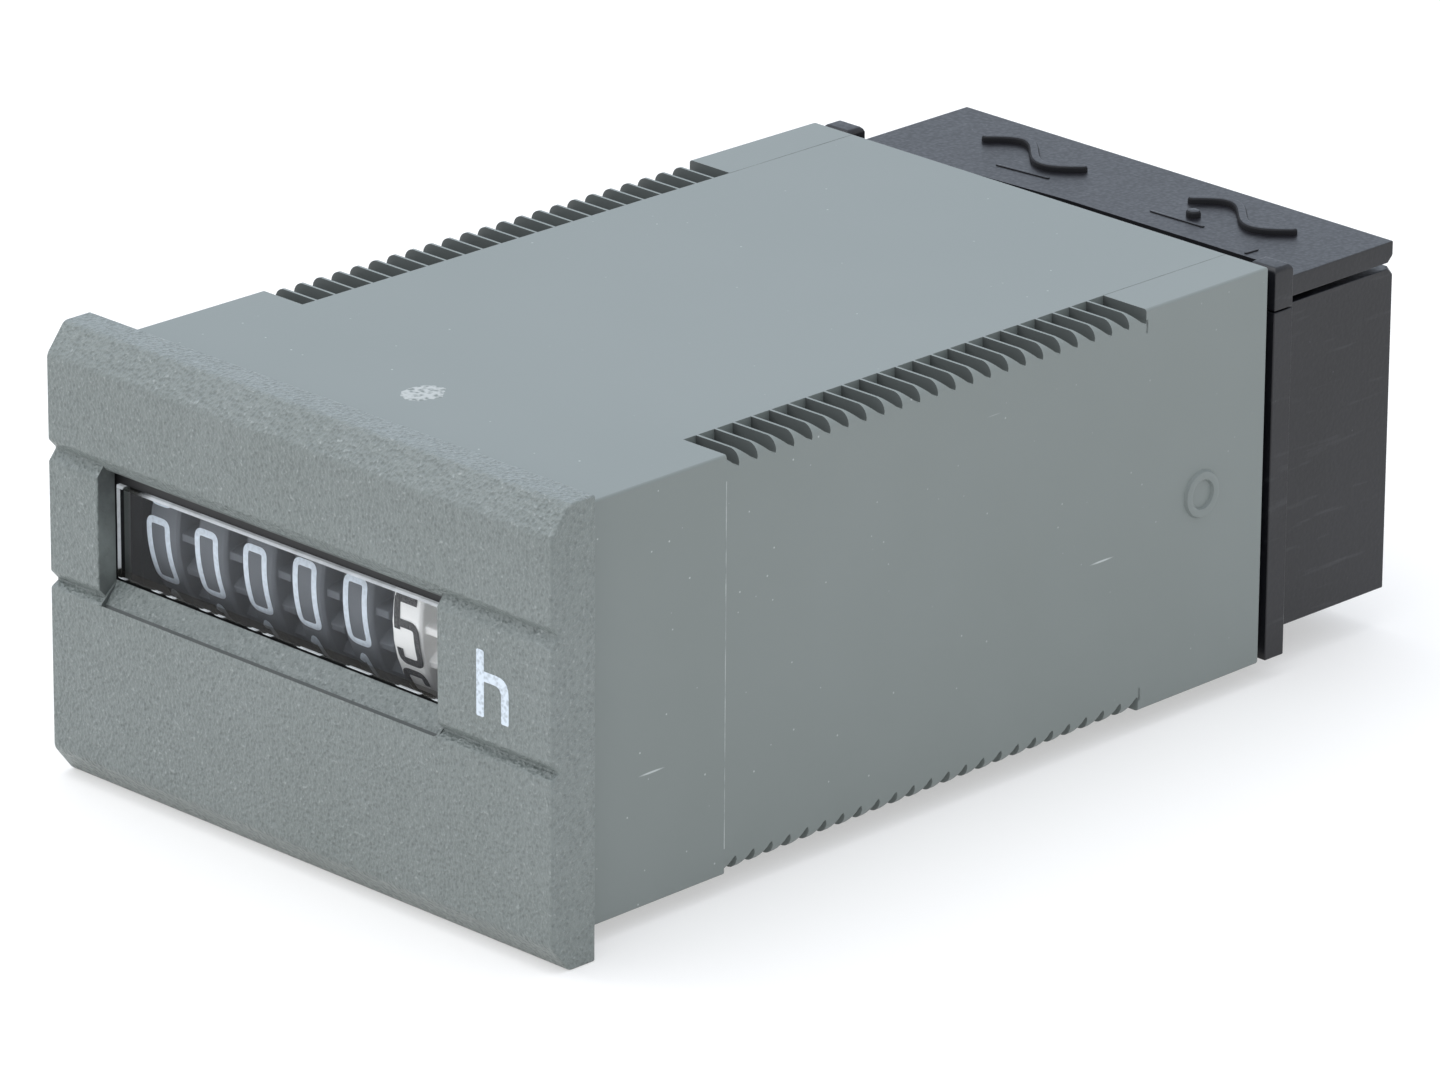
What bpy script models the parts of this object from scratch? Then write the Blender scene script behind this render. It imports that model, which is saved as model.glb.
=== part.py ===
"""Panel-mounted electromechanical hour meter with six number drums.

The housing snaps into a panel cut-out: x runs to the right seen from the front, y runs to the
rear, z runs up. The origin is the middle of the bezel's rear face, where the panel sits.
"""
import math

import bmesh
import bpy
from mathutils import Matrix, Vector

MM = 0.001

# bezel, moulded in one piece with the body
BEZEL_WIDTH = 36.0 * MM
BEZEL_HEIGHT = 24.0 * MM
BEZEL_DEPTH = 2.95 * MM
BEZEL_CHAMFER_HEIGHT = 1.5 * MM
BEZEL_CHAMFER_DEPTH = 1.2 * MM
BEZEL_LIP_SIDE = 1.4 * MM
BEZEL_LIP_TOP = 1.0 * MM
GROOVE_WIDTH = 1.1 * MM
GROOVE_DEPTH = 0.45 * MM

# window recess in the bezel and the lens behind it
WINDOW_BOTTOM = -1.5 * MM
WINDOW_HEIGHT = 6.9 * MM
WINDOW_LEFT_MARGIN = 1.2 * MM
WINDOW_RIGHT_MARGIN = 2.7 * MM
RECESS_DEPTH = 1.2 * MM
SILL_RISE = 0.55 * MM
LENS_THICKNESS = 0.7 * MM
LENS_OVERLAP = 0.55 * MM
LENS_EDGE_BEVEL = 0.2 * MM

# body behind the panel, with its moulding draft and ratchet teeth
BODY_LENGTH = 49.6 * MM
SIDE_DRAFT = math.radians(0.5)
TOP_DRAFT = math.radians(0.2)
SIDE_WALL = 1.35 * MM
TOP_WALL = 1.55 * MM
FRONT_WALL = 2.05 * MM
TOOTH_START = 10.0 * MM
TOOTH_PITCH = 1.27 * MM
TOOTH_DEPTH = 0.9 * MM
TOOTH_LAND = 0.15 * MM
TOOTH_RUN = 3.1 * MM
CREST_ROUND = 1.0 * MM
REAR_LAND = 9.0 * MM

# clearances used by all the pieces
SEAT_GAP = 0.3 * MM
LENS_GAP = 0.2 * MM
AXIAL_GAP = 0.25 * MM
RUNNING_FIT = 0.1 * MM
PRESS_FIT = 0.08 * MM
SLOT_FIT = 0.15 * MM

# number drums
DRUM_COUNT = 6
DRUM_TOP_GAP = 0.93 * MM
DRIVE_SPACE = 6.3 * MM
RIM_CHAMFER = 0.15 * MM
DISC_WIDTH = 0.25 * MM
DISC_RADIUS = 4.2 * MM
CARRY_TOOTH_HEIGHT = 0.5 * MM
GEAR_WIDTH = 0.9 * MM
GEAR_STEP = 0.35 * MM
DRUM_SHAFT_RADIUS = 1.0 * MM
SPACER_RADIUS = 1.9 * MM

# gear train
DRUM_TEETH = 20
PINION_TEETH = 8
IDLER_PINION_TEETH = 12
IDLER_WHEEL_TEETH = 30
MOTOR_PINION_TEETH = 10
FAST_MODULE_SHARE = 0.715
PRESSURE_ANGLE = math.radians(20.0)
ADDENDUM = 0.8
DEDENDUM = 1.15
TOOTH_THINNING = 0.12 * MM
PINION_WIDTH = 1.0 * MM
PINION_SHAFT_RADIUS = 0.6 * MM
PINION_ANGLE = math.radians(-65.0)
IDLER_HUB_RADIUS = 2.2 * MM
IDLER_HUB_LENGTH = 0.4 * MM
IDLER_PIN_RADIUS = 0.75 * MM
IDLER_SHOULDER_RADIUS = 1.6 * MM
WHEEL_WIDTH = 0.8 * MM

# motor
MOTOR_WALL_GAP = 0.8 * MM
MOTOR_EDGE = 0.5 * MM
MOTOR_LEFT_GAP = 1.2 * MM
MOTOR_CAP_RADIUS = 2.4 * MM
MOTOR_CAP_LENGTH = 0.8 * MM
GEARBOX_LENGTH = 7.2 * MM
BEARING_RADIUS = 1.9 * MM
BEARING_LENGTH = 0.5 * MM
MOTOR_SHAFT_RADIUS = 0.75 * MM
MOTOR_SHAFT_ENTRY = 2.2 * MM
MOTOR_POST_RADIUS = 1.5 * MM
MOTOR_POST_INSET = 2.3 * MM
MOTOR_POST_ANGLE = math.radians(50.0)

# chassis
CHEEK_THICKNESS = 0.85 * MM
CHEEK_CORNER = 2.4 * MM
TIE_RADIUS = 1.2 * MM
TIE_END_RADIUS = 0.8 * MM

# circuit board and what stands on it
BOARD_THICKNESS = 1.0 * MM
BOARD_SIDE_GAP = 1.2 * MM
CAPACITOR_WIDTH = 10.6 * MM
CAPACITOR_DEPTH = 6.2 * MM
CAPACITOR_HEIGHT = 8.2 * MM
CAPACITOR_EDGE_GAP = 1.0 * MM
CAPACITOR_EDGE = 0.5 * MM
RESISTOR_RADIUS = 1.7 * MM
RESISTOR_LENGTH = 6.4 * MM
RESISTOR_STANDOFF = 2.6 * MM
RESISTOR_DROP = 3.3 * MM
LEAD_RADIUS = 0.35 * MM
LEAD_REACH = 1.3 * MM
MOTOR_WIRE_RADIUS = 0.55 * MM
MOTOR_WIRE_INSET = 3.5 * MM
MOTOR_WIRE_SPACING = 1.8 * MM
MOTOR_WIRE_DROP = 0.7 * MM
MOTOR_WIRE_BOW = 0.9 * MM

# terminal block and its cover
SPIGOT_LENGTH = 3.1 * MM
SPIGOT_RIM = 1.6 * MM
SPIGOT_POCKET = 2.4 * MM
FLANGE_GAP = 0.5 * MM
FLANGE_THICKNESS = 1.4 * MM
BLOCK_STEP_SIDE = 0.95 * MM
BLOCK_STEP_BOTTOM = 1.05 * MM
COVER_STEP_TOP = 1.4 * MM
TERMINAL_SPACING = 14.2 * MM
CHAMBER_WIDTH = 6.2 * MM
CHAMBER_LENGTH = 5.6 * MM
CHAMBER_FRONT_WALL = 1.2 * MM
CHAMBER_REAR_WALL = 2.0 * MM
ENTRY_WIDTH = 4.8 * MM
ENTRY_FLARE = 0.5 * MM
COVER_THICKNESS = 1.15 * MM
EAR_WIDTH = 1.9 * MM
EAR_STEP_TOP = 0.25 * MM
PEG_RADIUS = 1.0 * MM
PEG_LENGTH = 3.0 * MM
PEG_INSET = 2.6 * MM

# one screw terminal
STRIP_WIDTH = 3.4 * MM
STRIP_THICKNESS = 0.8 * MM
TAIL_WIDTH = 1.6 * MM
TAIL_PAST_BOARD = 0.8 * MM
WIRE_SPACE = 3.2 * MM
CAGE_WALL = 0.8 * MM
CAGE_ROOF = 1.0 * MM
CAGE_LENGTH = 4.6 * MM
CAGE_TRAVEL = 2.0 * MM
SCREW_RADIUS = 1.45 * MM
SCREW_HEAD_RADIUS = 2.4 * MM
SCREW_HEAD_HEIGHT = 1.6 * MM
SCREW_SLOT_WIDTH = 0.8 * MM
SCREW_SLOT_DEPTH = 0.8 * MM

EPS = 0.5 * MM


def half_width(y):
    """Half of the body's width at a distance behind the panel."""
    return BEZEL_WIDTH / 2 - BEZEL_LIP_SIDE - y * math.tan(SIDE_DRAFT)


def half_height(y):
    """Half of the body's height at a distance behind the panel."""
    return BEZEL_HEIGHT / 2 - BEZEL_LIP_TOP - y * math.tan(TOP_DRAFT)


# places that follow from the sizes above
cavity_x = half_width(BODY_LENGTH) - SIDE_WALL
cavity_z = half_height(BODY_LENGTH) - TOP_WALL
cavity_front = FRONT_WALL - BEZEL_DEPTH
window_top = WINDOW_BOTTOM + WINDOW_HEIGHT
lens_front = RECESS_DEPTH + LENS_GAP - BEZEL_DEPTH
lens_back = lens_front + LENS_THICKNESS
tooth_count = int((BODY_LENGTH - TOOTH_START - REAR_LAND) / TOOTH_PITCH)
tooth_end = TOOTH_START + tooth_count * TOOTH_PITCH - TOOTH_LAND

cheek_out = cavity_x - SEAT_GAP
cheek_in = cheek_out - CHEEK_THICKNESS
drum_z = WINDOW_BOTTOM + WINDOW_HEIGHT / 2
drum_radius = cavity_z - drum_z - DRUM_TOP_GAP
drum_y = lens_back + AXIAL_GAP + drum_radius
drum_pitch = (2 * cheek_in - DRIVE_SPACE) / DRUM_COUNT
rim_width = drum_pitch - DISC_WIDTH - GEAR_WIDTH - AXIAL_GAP
drum_left = AXIAL_GAP + DISC_WIDTH - cheek_in
drum_right = drum_left + (DRUM_COUNT - 1) * drum_pitch + rim_width + GEAR_WIDTH
window_left = drum_left - WINDOW_LEFT_MARGIN
window_right = drum_right + WINDOW_RIGHT_MARGIN

gear_tip = drum_radius - GEAR_STEP
drum_module = gear_tip / (DRUM_TEETH / 2 + ADDENDUM)
fast_module = drum_module * FAST_MODULE_SHARE
pinion_reach = (DRUM_TEETH + PINION_TEETH) * drum_module / 2
pinion_y = drum_y + pinion_reach * math.cos(PINION_ANGLE)
pinion_z = drum_z + pinion_reach * math.sin(PINION_ANGLE)
idler_reach = (DRUM_TEETH + IDLER_PINION_TEETH) * drum_module / 2
idler_y = drum_y + idler_reach
idler_z = drum_z
motor_radius = cavity_z - MOTOR_WALL_GAP
motor_post_reach = motor_radius - MOTOR_POST_INSET
motor_reach = (IDLER_WHEEL_TEETH + MOTOR_PINION_TEETH) * fast_module / 2
motor_z = 0.0
motor_y = idler_y + math.sqrt(motor_reach ** 2 - (idler_z - motor_z) ** 2)
motor_angle = math.atan2(motor_z - idler_z, motor_y - idler_y)

idler_left = drum_right - GEAR_WIDTH + AXIAL_GAP
wheel_left = drum_right + SEAT_GAP
wheel_right = wheel_left + WHEEL_WIDTH
gearbox_right = idler_left - SEAT_GAP
gearbox_left = gearbox_right - GEARBOX_LENGTH
can_right = gearbox_left - SEAT_GAP
can_left = MOTOR_CAP_LENGTH + MOTOR_LEFT_GAP - cheek_in
tie_z = cavity_z - SEAT_GAP - 2 * TIE_RADIUS
tie_y = motor_y + math.sqrt((motor_radius + SEAT_GAP + TIE_RADIUS) ** 2 - (tie_z - motor_z) ** 2)
motor_wire_x = MOTOR_WIRE_INSET + BOARD_SIDE_GAP - cavity_x
motor_wire_z = tie_z - TIE_RADIUS - MOTOR_WIRE_DROP - MOTOR_WIRE_RADIUS

spigot_front = BODY_LENGTH - SPIGOT_LENGTH
board_back = spigot_front - SEAT_GAP
board_front = board_back - BOARD_THICKNESS
board_half_z = cavity_z - SEAT_GAP
resistor_z = board_half_z - RESISTOR_DROP
capacitor_z = CAPACITOR_EDGE_GAP + CAPACITOR_HEIGHT / 2 - board_half_z
flange_front = BODY_LENGTH + FLANGE_GAP
flange_back = flange_front + FLANGE_THICKNESS
chamber_front = flange_back + CHAMBER_FRONT_WALL
chamber_back = chamber_front + CHAMBER_LENGTH
block_back = chamber_back + CHAMBER_REAR_WALL
screw_y = (chamber_front + chamber_back) / 2
flange_half = half_width(BODY_LENGTH)
flange_low = -half_height(BODY_LENGTH)
block_half = flange_half - BLOCK_STEP_SIDE
block_low = flange_low + BLOCK_STEP_BOTTOM
cover_top = half_height(BODY_LENGTH) - COVER_STEP_TOP
cover_bottom = cover_top - COVER_THICKNESS
block_top = cover_bottom - SEAT_GAP
peg_x = block_half - PEG_INSET
head_top = block_top - LENS_GAP
head_bottom = head_top - SCREW_HEAD_HEIGHT
roof_top = head_bottom - SEAT_GAP - CAGE_TRAVEL
roof_bottom = roof_top - CAGE_ROOF
strip_top = roof_bottom - SEAT_GAP - SLOT_FIT
strip_bottom = strip_top - STRIP_THICKNESS
wire_z = strip_bottom - WIRE_SPACE / 2
cage_floor = wire_z - WIRE_SPACE / 2
cage_bottom = cage_floor - CAGE_WALL
chamber_floor = cage_bottom - SEAT_GAP


def new_material(name, colour, roughness, metallic=0.0, transmission=0.0):
    """A plain Principled material."""
    made = bpy.data.materials.new(name)
    made.use_nodes = True
    shader = made.node_tree.nodes["Principled BSDF"]
    shader.inputs["Base Color"].default_value = (*colour, 1.0)
    shader.inputs["Roughness"].default_value = roughness
    shader.inputs["Metallic"].default_value = metallic
    shader.inputs["Transmission Weight"].default_value = transmission
    made.diffuse_color = (*colour, 1.0)
    return made


def to_object(name, shape, place=(0.0, 0.0, 0.0)):
    """Turns a bmesh into an object whose origin is at the given place."""
    bmesh.ops.recalc_face_normals(shape, faces=shape.faces)
    mesh = bpy.data.meshes.new(name)
    shape.to_mesh(mesh)
    shape.free()
    made = bpy.data.objects.new(name, mesh)
    made.location = place
    bpy.context.scene.collection.objects.link(made)
    return made


def combine(target, shape, operation):
    """Cuts a shape from an object, or joins it on; the shape is in world places."""
    tool = to_object(target.name + "_tool", shape)
    change = target.modifiers.new("change", "BOOLEAN")
    change.operation = operation
    change.solver = "EXACT"
    change.object = tool
    bpy.context.view_layer.update()
    graph = bpy.context.evaluated_depsgraph_get()
    result = bpy.data.meshes.new_from_object(target.evaluated_get(graph))
    target.modifiers.remove(change)
    target.data = result
    bpy.data.objects.remove(tool)


def cut(target, shape):
    combine(target, shape, "DIFFERENCE")


def join(target, shape):
    combine(target, shape, "UNION")


def finish(made, surface, smooth=False):
    """Merges flat neighbours, sets the material and the shading."""
    shape = bmesh.new()
    shape.from_mesh(made.data)
    bmesh.ops.remove_doubles(shape, verts=shape.verts, dist=0.0005 * MM)
    bmesh.ops.dissolve_limit(shape, angle_limit=math.radians(0.05), verts=shape.verts, edges=shape.edges)
    shape.to_mesh(made.data)
    shape.free()
    made.data.name = made.name
    made.data.materials.clear()
    made.data.materials.append(surface)
    if smooth:
        made.data.shade_smooth()
        made.data.set_sharp_from_angle(angle=math.radians(35.0))
    return made


def along(axis, level, u, v):
    """A point from its place along an axis and its two other coordinates in x, y, z order."""
    if axis == "X":
        return Vector((level, u, v))
    if axis == "Y":
        return Vector((u, level, v))
    return Vector((u, v, level))


def prism(outline, axis, start, end, into=None):
    """Extrudes a closed outline along an axis."""
    shape = into or bmesh.new()
    ring = [shape.verts.new(along(axis, start, u, v)) for u, v in outline]
    face = shape.faces.new(ring)
    grown = bmesh.ops.extrude_face_region(shape, geom=[face])
    moved = [item for item in grown["geom"] if isinstance(item, bmesh.types.BMVert)]
    bmesh.ops.translate(shape, verts=moved, vec=along(axis, end - start, 0.0, 0.0))
    return shape


def box(low, high, into=None):
    """A block between two corners."""
    outline = [(low[0], low[1]), (high[0], low[1]), (high[0], high[1]), (low[0], high[1])]
    return prism(outline, "Z", low[2], high[2], into)


def circle(radius, sides, centre=(0.0, 0.0), phase=0.0):
    """Points round a circle."""
    steps = [phase + 2 * math.pi * i / sides for i in range(sides)]
    return [(centre[0] + radius * math.cos(a), centre[1] + radius * math.sin(a)) for a in steps]


def loft(first, second, into=None):
    """A closed body between two outlines of the same number of points."""
    shape = into or bmesh.new()
    ring_a = [shape.verts.new(p) for p in first]
    ring_b = [shape.verts.new(p) for p in second]
    count = len(ring_a)
    shape.faces.new(ring_a)
    shape.faces.new(list(reversed(ring_b)))
    for i in range(count):
        j = (i + 1) % count
        shape.faces.new((ring_a[i], ring_b[i], ring_b[j], ring_a[j]))
    return shape


def turned(profile, sides):
    """Turns a profile of (place along x, radius) round the x axis; it starts and ends on the axis."""
    shape = bmesh.new()
    points = [shape.verts.new((x, 0.0, r)) for x, r in profile]
    edges = [shape.edges.new(pair) for pair in zip(points, points[1:])]
    bmesh.ops.spin(shape, geom=points + edges, axis=(1.0, 0.0, 0.0), cent=(0.0, 0.0, 0.0),
                   angle=2 * math.pi, steps=sides, use_merge=True)
    bmesh.ops.remove_doubles(shape, verts=shape.verts, dist=0.001 * MM)
    return shape


def moved(shape, x=0.0, y=0.0, z=0.0):
    """The same shape at another place."""
    bmesh.ops.translate(shape, verts=shape.verts, vec=(x, y, z))
    return shape


def gear(teeth, module, phase):
    """Outline of an involute gear with short teeth, thinned for play."""
    pitch = teeth * module / 2
    base = pitch * math.cos(PRESSURE_ANGLE)

    def involute(radius):
        angle = math.acos(min(1.0, base / radius))
        return math.tan(angle) - angle

    half = math.pi / (2 * teeth) - TOOTH_THINNING / (2 * pitch)
    radii = (pitch - DEDENDUM * module, pitch, pitch + ADDENDUM * module)
    flank = [(r, half + involute(pitch) - involute(r)) for r in radii]
    outline = []
    for i in range(teeth):
        middle = phase + 2 * math.pi * i / teeth
        for r, a in flank:
            outline.append((r * math.cos(middle - a), r * math.sin(middle - a)))
        for r, a in reversed(flank):
            outline.append((r * math.cos(middle + a), r * math.sin(middle + a)))
    return outline


def meshing_phase(teeth, phase, other_teeth, direction):
    """Phase of the second gear so that its gap meets a tooth of the first along a direction."""
    return direction + math.pi + math.pi / other_teeth - (phase - direction) * teeth / other_teeth


def rounded(half_u, half_v, corner, centre=(0.0, 0.0)):
    """Rectangle with its four corners cut off."""
    signs = [(1, 1), (-1, 1), (-1, -1), (1, -1)]
    outline = []
    for u, v in signs:
        a = (centre[0] + u * half_u, centre[1] + v * (half_v - corner))
        b = (centre[0] + u * (half_u - corner), centre[1] + v * half_v)
        outline += [a, b] if u * v > 0 else [b, a]
    return outline


def remove_everything():
    for old in list(bpy.data.objects):
        bpy.data.objects.remove(old, do_unlink=True)


def build_housing(surface):
    """Bezel and body in one moulding, with the window, the lens pocket and the ratchet teeth."""
    top = BEZEL_HEIGHT / 2
    rim = BEZEL_CHAMFER_DEPTH - BEZEL_DEPTH
    side = [(0.0, top), (rim, top), (-BEZEL_DEPTH, top - BEZEL_CHAMFER_HEIGHT)]
    for level in (window_top, WINDOW_BOTTOM):
        side.append((-BEZEL_DEPTH, level + GROOVE_WIDTH / 2))
        side.append((GROOVE_DEPTH - BEZEL_DEPTH, level))
        side.append((-BEZEL_DEPTH, level - GROOVE_WIDTH / 2))
    side += [(-BEZEL_DEPTH, BEZEL_CHAMFER_HEIGHT - top), (rim, -top), (0.0, -top)]
    made = to_object("housing", prism(side, "X", -BEZEL_WIDTH / 2, BEZEL_WIDTH / 2))

    ends = []
    for y in (rim / 2, BODY_LENGTH):
        w, h = half_width(y), half_height(y)
        ends.append([(-w, y, -h), (w, y, -h), (w, y, h), (-w, y, h)])
    join(made, loft(*ends))
    cut(made, box((-cavity_x, cavity_front, -cavity_z), (cavity_x, BODY_LENGTH + EPS, cavity_z)))

    shoulder = RECESS_DEPTH - BEZEL_DEPTH
    sill = WINDOW_BOTTOM + SILL_RISE
    slope = SILL_RISE / RECESS_DEPTH
    recess = [(-BEZEL_DEPTH - EPS, window_top), (-BEZEL_DEPTH - EPS, WINDOW_BOTTOM - slope * EPS),
              (shoulder, sill), (cavity_front + EPS, sill), (cavity_front + EPS, window_top)]
    cut(made, prism(recess, "X", window_left, window_right))
    cut(made, box((window_left - LENS_OVERLAP, shoulder, sill - LENS_OVERLAP),
                  (window_right + LENS_OVERLAP, cavity_front + EPS, window_top + LENS_OVERLAP)))

    corners = bmesh.new()
    slots = bmesh.new()
    steps = 3
    for sx in (-1, 1):
        for sz in (-1, 1):
            ends = []
            for y in (TOOTH_START, tooth_end):
                w, h = half_width(y), half_height(y)
                ring = [(w + EPS, y, h + EPS), (w - CREST_ROUND, y, h + EPS)]
                for i in range(steps + 1):
                    a = math.pi / 2 * (1 - i / steps)
                    ring.append((w - CREST_ROUND + CREST_ROUND * math.cos(a), y,
                                 h - CREST_ROUND + CREST_ROUND * math.sin(a)))
                ring.append((w + EPS, y, h - CREST_ROUND))
                ends.append([(sx * x, y, sz * z) for x, y, z in ring])
            loft(*ends, into=corners)
            for i in range(tooth_count):
                near = TOOTH_START + i * TOOTH_PITCH
                far = near + TOOTH_PITCH - TOOTH_LAND
                z_near, z_apex = half_height(near), half_height(far) - TOOTH_DEPTH
                lead = 0.1
                start = (near - lead * (far - near), z_near + lead * (z_near - z_apex))
                outline = [start, (far, z_apex), (far, start[1])]
                inner = half_width(near) - TOOTH_RUN
                prism([(y, sz * z) for y, z in outline], "X", sx * inner,
                      sx * (half_width(near) + EPS), into=slots)
    cut(made, corners)
    cut(made, slots)
    return finish(made, surface)


def build_lens(surface):
    """Clear plate in the pocket behind the window, its front edges bevelled."""
    sill = WINDOW_BOTTOM + SILL_RISE
    inset = LENS_OVERLAP - LENS_GAP
    shape = box((window_left - inset, lens_front, sill - inset),
                (window_right + inset, lens_back, window_top + inset))
    edges = [e for e in shape.edges if all(v.co.y < lens_front + 0.01 * MM for v in e.verts)]
    bmesh.ops.bevel(shape, geom=edges, offset=LENS_EDGE_BEVEL, segments=1, profile=0.5, affect="EDGES",
                    material=-1)
    return finish(to_object("lens", shape), surface)


def build_cheeks(surface):
    """Two bearing plates of the chassis, with holes for the shafts, tie bars and idler post."""
    front = cavity_front + SEAT_GAP
    back = board_front - SEAT_GAP
    middle = ((front + back) / 2, 0.0)
    outline = rounded((back - front) / 2, cavity_z - SEAT_GAP, CHEEK_CORNER, middle)
    made = []
    for name, low in (("cheek_left", -cheek_out), ("cheek_right", cheek_in)):
        plate = to_object(name, prism(outline, "X", low, low + CHEEK_THICKNESS))
        holes = [(DRUM_SHAFT_RADIUS, drum_y, drum_z), (PINION_SHAFT_RADIUS, pinion_y, pinion_z),
                 (TIE_END_RADIUS, tie_y, tie_z), (TIE_END_RADIUS, tie_y, -tie_z)]
        if name == "cheek_right":
            holes.append((IDLER_PIN_RADIUS, idler_y, idler_z))
        tools = bmesh.new()
        for radius, y, z in holes:
            hole = circle(radius + PRESS_FIT, 16, (y, z))
            prism(hole, "X", low - EPS, low + CHEEK_THICKNESS + EPS, into=tools)
        cut(plate, tools)
        made.append(finish(plate, surface))
    return made


def build_shafts(steel, brass, sleeve):
    """Drum shaft, its spacer sleeve, pinion shaft, tie bars and idler post, all held by the cheeks."""
    reach = cheek_out + RUNNING_FIT
    rods = (("drum_shaft", DRUM_SHAFT_RADIUS, drum_y, drum_z),
            ("pinion_shaft", PINION_SHAFT_RADIUS, pinion_y, pinion_z))
    for name, radius, y, z in rods:
        finish(to_object(name, prism(circle(radius, 16, (y, z)), "X", -reach, reach)), steel, True)
    spacer = to_object("drum_spacer", prism(circle(SPACER_RADIUS, 20, (drum_y, drum_z)), "X",
                                            drum_right + AXIAL_GAP, cheek_in - AXIAL_GAP))
    cut(spacer, prism(circle(DRUM_SHAFT_RADIUS + RUNNING_FIT, 16, (drum_y, drum_z)), "X", 0.0, cheek_in))
    finish(spacer, sleeve, True)

    stop = cheek_in - PRESS_FIT
    profile = [(-reach, 0.0), (-reach, TIE_END_RADIUS), (-stop, TIE_END_RADIUS), (-stop, TIE_RADIUS),
               (stop, TIE_RADIUS), (stop, TIE_END_RADIUS), (reach, TIE_END_RADIUS), (reach, 0.0)]
    for name, z in (("tie_bar_upper", tie_z), ("tie_bar_lower", -tie_z)):
        finish(to_object(name, moved(turned(profile, 16), y=tie_y, z=z)), steel, True)

    shoulder = wheel_right + IDLER_HUB_LENGTH + AXIAL_GAP
    profile = [(idler_left, 0.0), (idler_left, IDLER_PIN_RADIUS), (shoulder, IDLER_PIN_RADIUS),
               (shoulder, IDLER_SHOULDER_RADIUS), (stop, IDLER_SHOULDER_RADIUS), (stop, IDLER_PIN_RADIUS),
               (reach, IDLER_PIN_RADIUS), (reach, 0.0)]
    finish(to_object("idler_post", moved(turned(profile, 16), y=idler_y, z=idler_z)), brass, True)


def carry_disc():
    """Outline of the disc on a drum's left face, with the two teeth that carry to the next drum."""
    outline = []
    sides = 36
    for i in range(sides):
        a = 2 * math.pi * i / sides
        raised = i in (8, 10)
        r = DISC_RADIUS + (CARRY_TOOTH_HEIGHT if raised else 0.0)
        outline.append((r * math.cos(a), r * math.sin(a)))
    return outline


def build_drums(black, white):
    """Six number drums: rim, gear ring on the right, carry disc on the left."""
    for k in range(DRUM_COUNT):
        last = k == DRUM_COUNT - 1
        name = "tenths_drum" if last else "number_drum_%d" % (k + 1)
        left = drum_left + k * drum_pitch
        middle = rim_width / 2
        profile = [(0.0, 0.0), (0.0, drum_radius - RIM_CHAMFER), (RIM_CHAMFER, drum_radius),
                   (rim_width - RIM_CHAMFER, drum_radius), (rim_width, drum_radius - RIM_CHAMFER),
                   (rim_width, 0.0)]
        made = to_object(name, turned(profile, 40))
        join(made, prism(gear(DRUM_TEETH, drum_module, 0.0), "X", middle, rim_width + GEAR_WIDTH))
        join(made, prism(carry_disc(), "X", -DISC_WIDTH, middle))
        cut(made, prism(circle(DRUM_SHAFT_RADIUS + RUNNING_FIT, 16), "X", -EPS, rim_width + GEAR_WIDTH + EPS))
        finish(made, white if last else black, True)
        made.location = (left, drum_y, drum_z)


def build_gears(brass, ivory, steel):
    """Transfer pinions between the drums, compound idler and motor pinion, all in mesh."""
    phase = meshing_phase(DRUM_TEETH, 0.0, PINION_TEETH, PINION_ANGLE)
    for k in range(DRUM_COUNT - 1):
        made = to_object("transfer_pinion_%d" % (k + 1),
                         prism(gear(PINION_TEETH, drum_module, phase), "X", 0.0, PINION_WIDTH))
        cut(made, prism(circle(PINION_SHAFT_RADIUS + RUNNING_FIT, 12), "X", -EPS, PINION_WIDTH + EPS))
        finish(made, ivory)
        room = GEAR_WIDTH + AXIAL_GAP + DISC_WIDTH
        gear_left = drum_left + k * drum_pitch + rim_width
        made.location = (gear_left + (room - PINION_WIDTH) / 2, pinion_y, pinion_z)

    small = meshing_phase(DRUM_TEETH, 0.0, IDLER_PINION_TEETH, 0.0)
    made = to_object("idler_gear", prism(gear(IDLER_WHEEL_TEETH, fast_module, motor_angle), "X",
                                         wheel_left - idler_left, wheel_right - idler_left))
    join(made, prism(gear(IDLER_PINION_TEETH, drum_module, small), "X", 0.0,
                     wheel_left + WHEEL_WIDTH / 2 - idler_left))
    join(made, prism(circle(IDLER_HUB_RADIUS, 20), "X", wheel_left + WHEEL_WIDTH / 2 - idler_left,
                     wheel_right + IDLER_HUB_LENGTH - idler_left))
    cut(made, prism(circle(IDLER_PIN_RADIUS + RUNNING_FIT, 16), "X", -EPS, cheek_in - idler_left))
    finish(made, ivory)
    made.location = (idler_left, idler_y, idler_z)

    phase = meshing_phase(IDLER_WHEEL_TEETH, motor_angle, MOTOR_PINION_TEETH, motor_angle)
    start = gearbox_right + BEARING_LENGTH + AXIAL_GAP
    made = to_object("motor_pinion", prism(gear(MOTOR_PINION_TEETH, fast_module, phase), "X", 0.0,
                                           wheel_right + AXIAL_GAP - start))
    shaft_end = gearbox_right - MOTOR_SHAFT_ENTRY + SEAT_GAP
    join(made, prism(circle(MOTOR_SHAFT_RADIUS, 16), "X", shaft_end - start, (wheel_right - start) / 2))
    finish(made, brass)
    made.location = (start, motor_y, motor_z)


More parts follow.
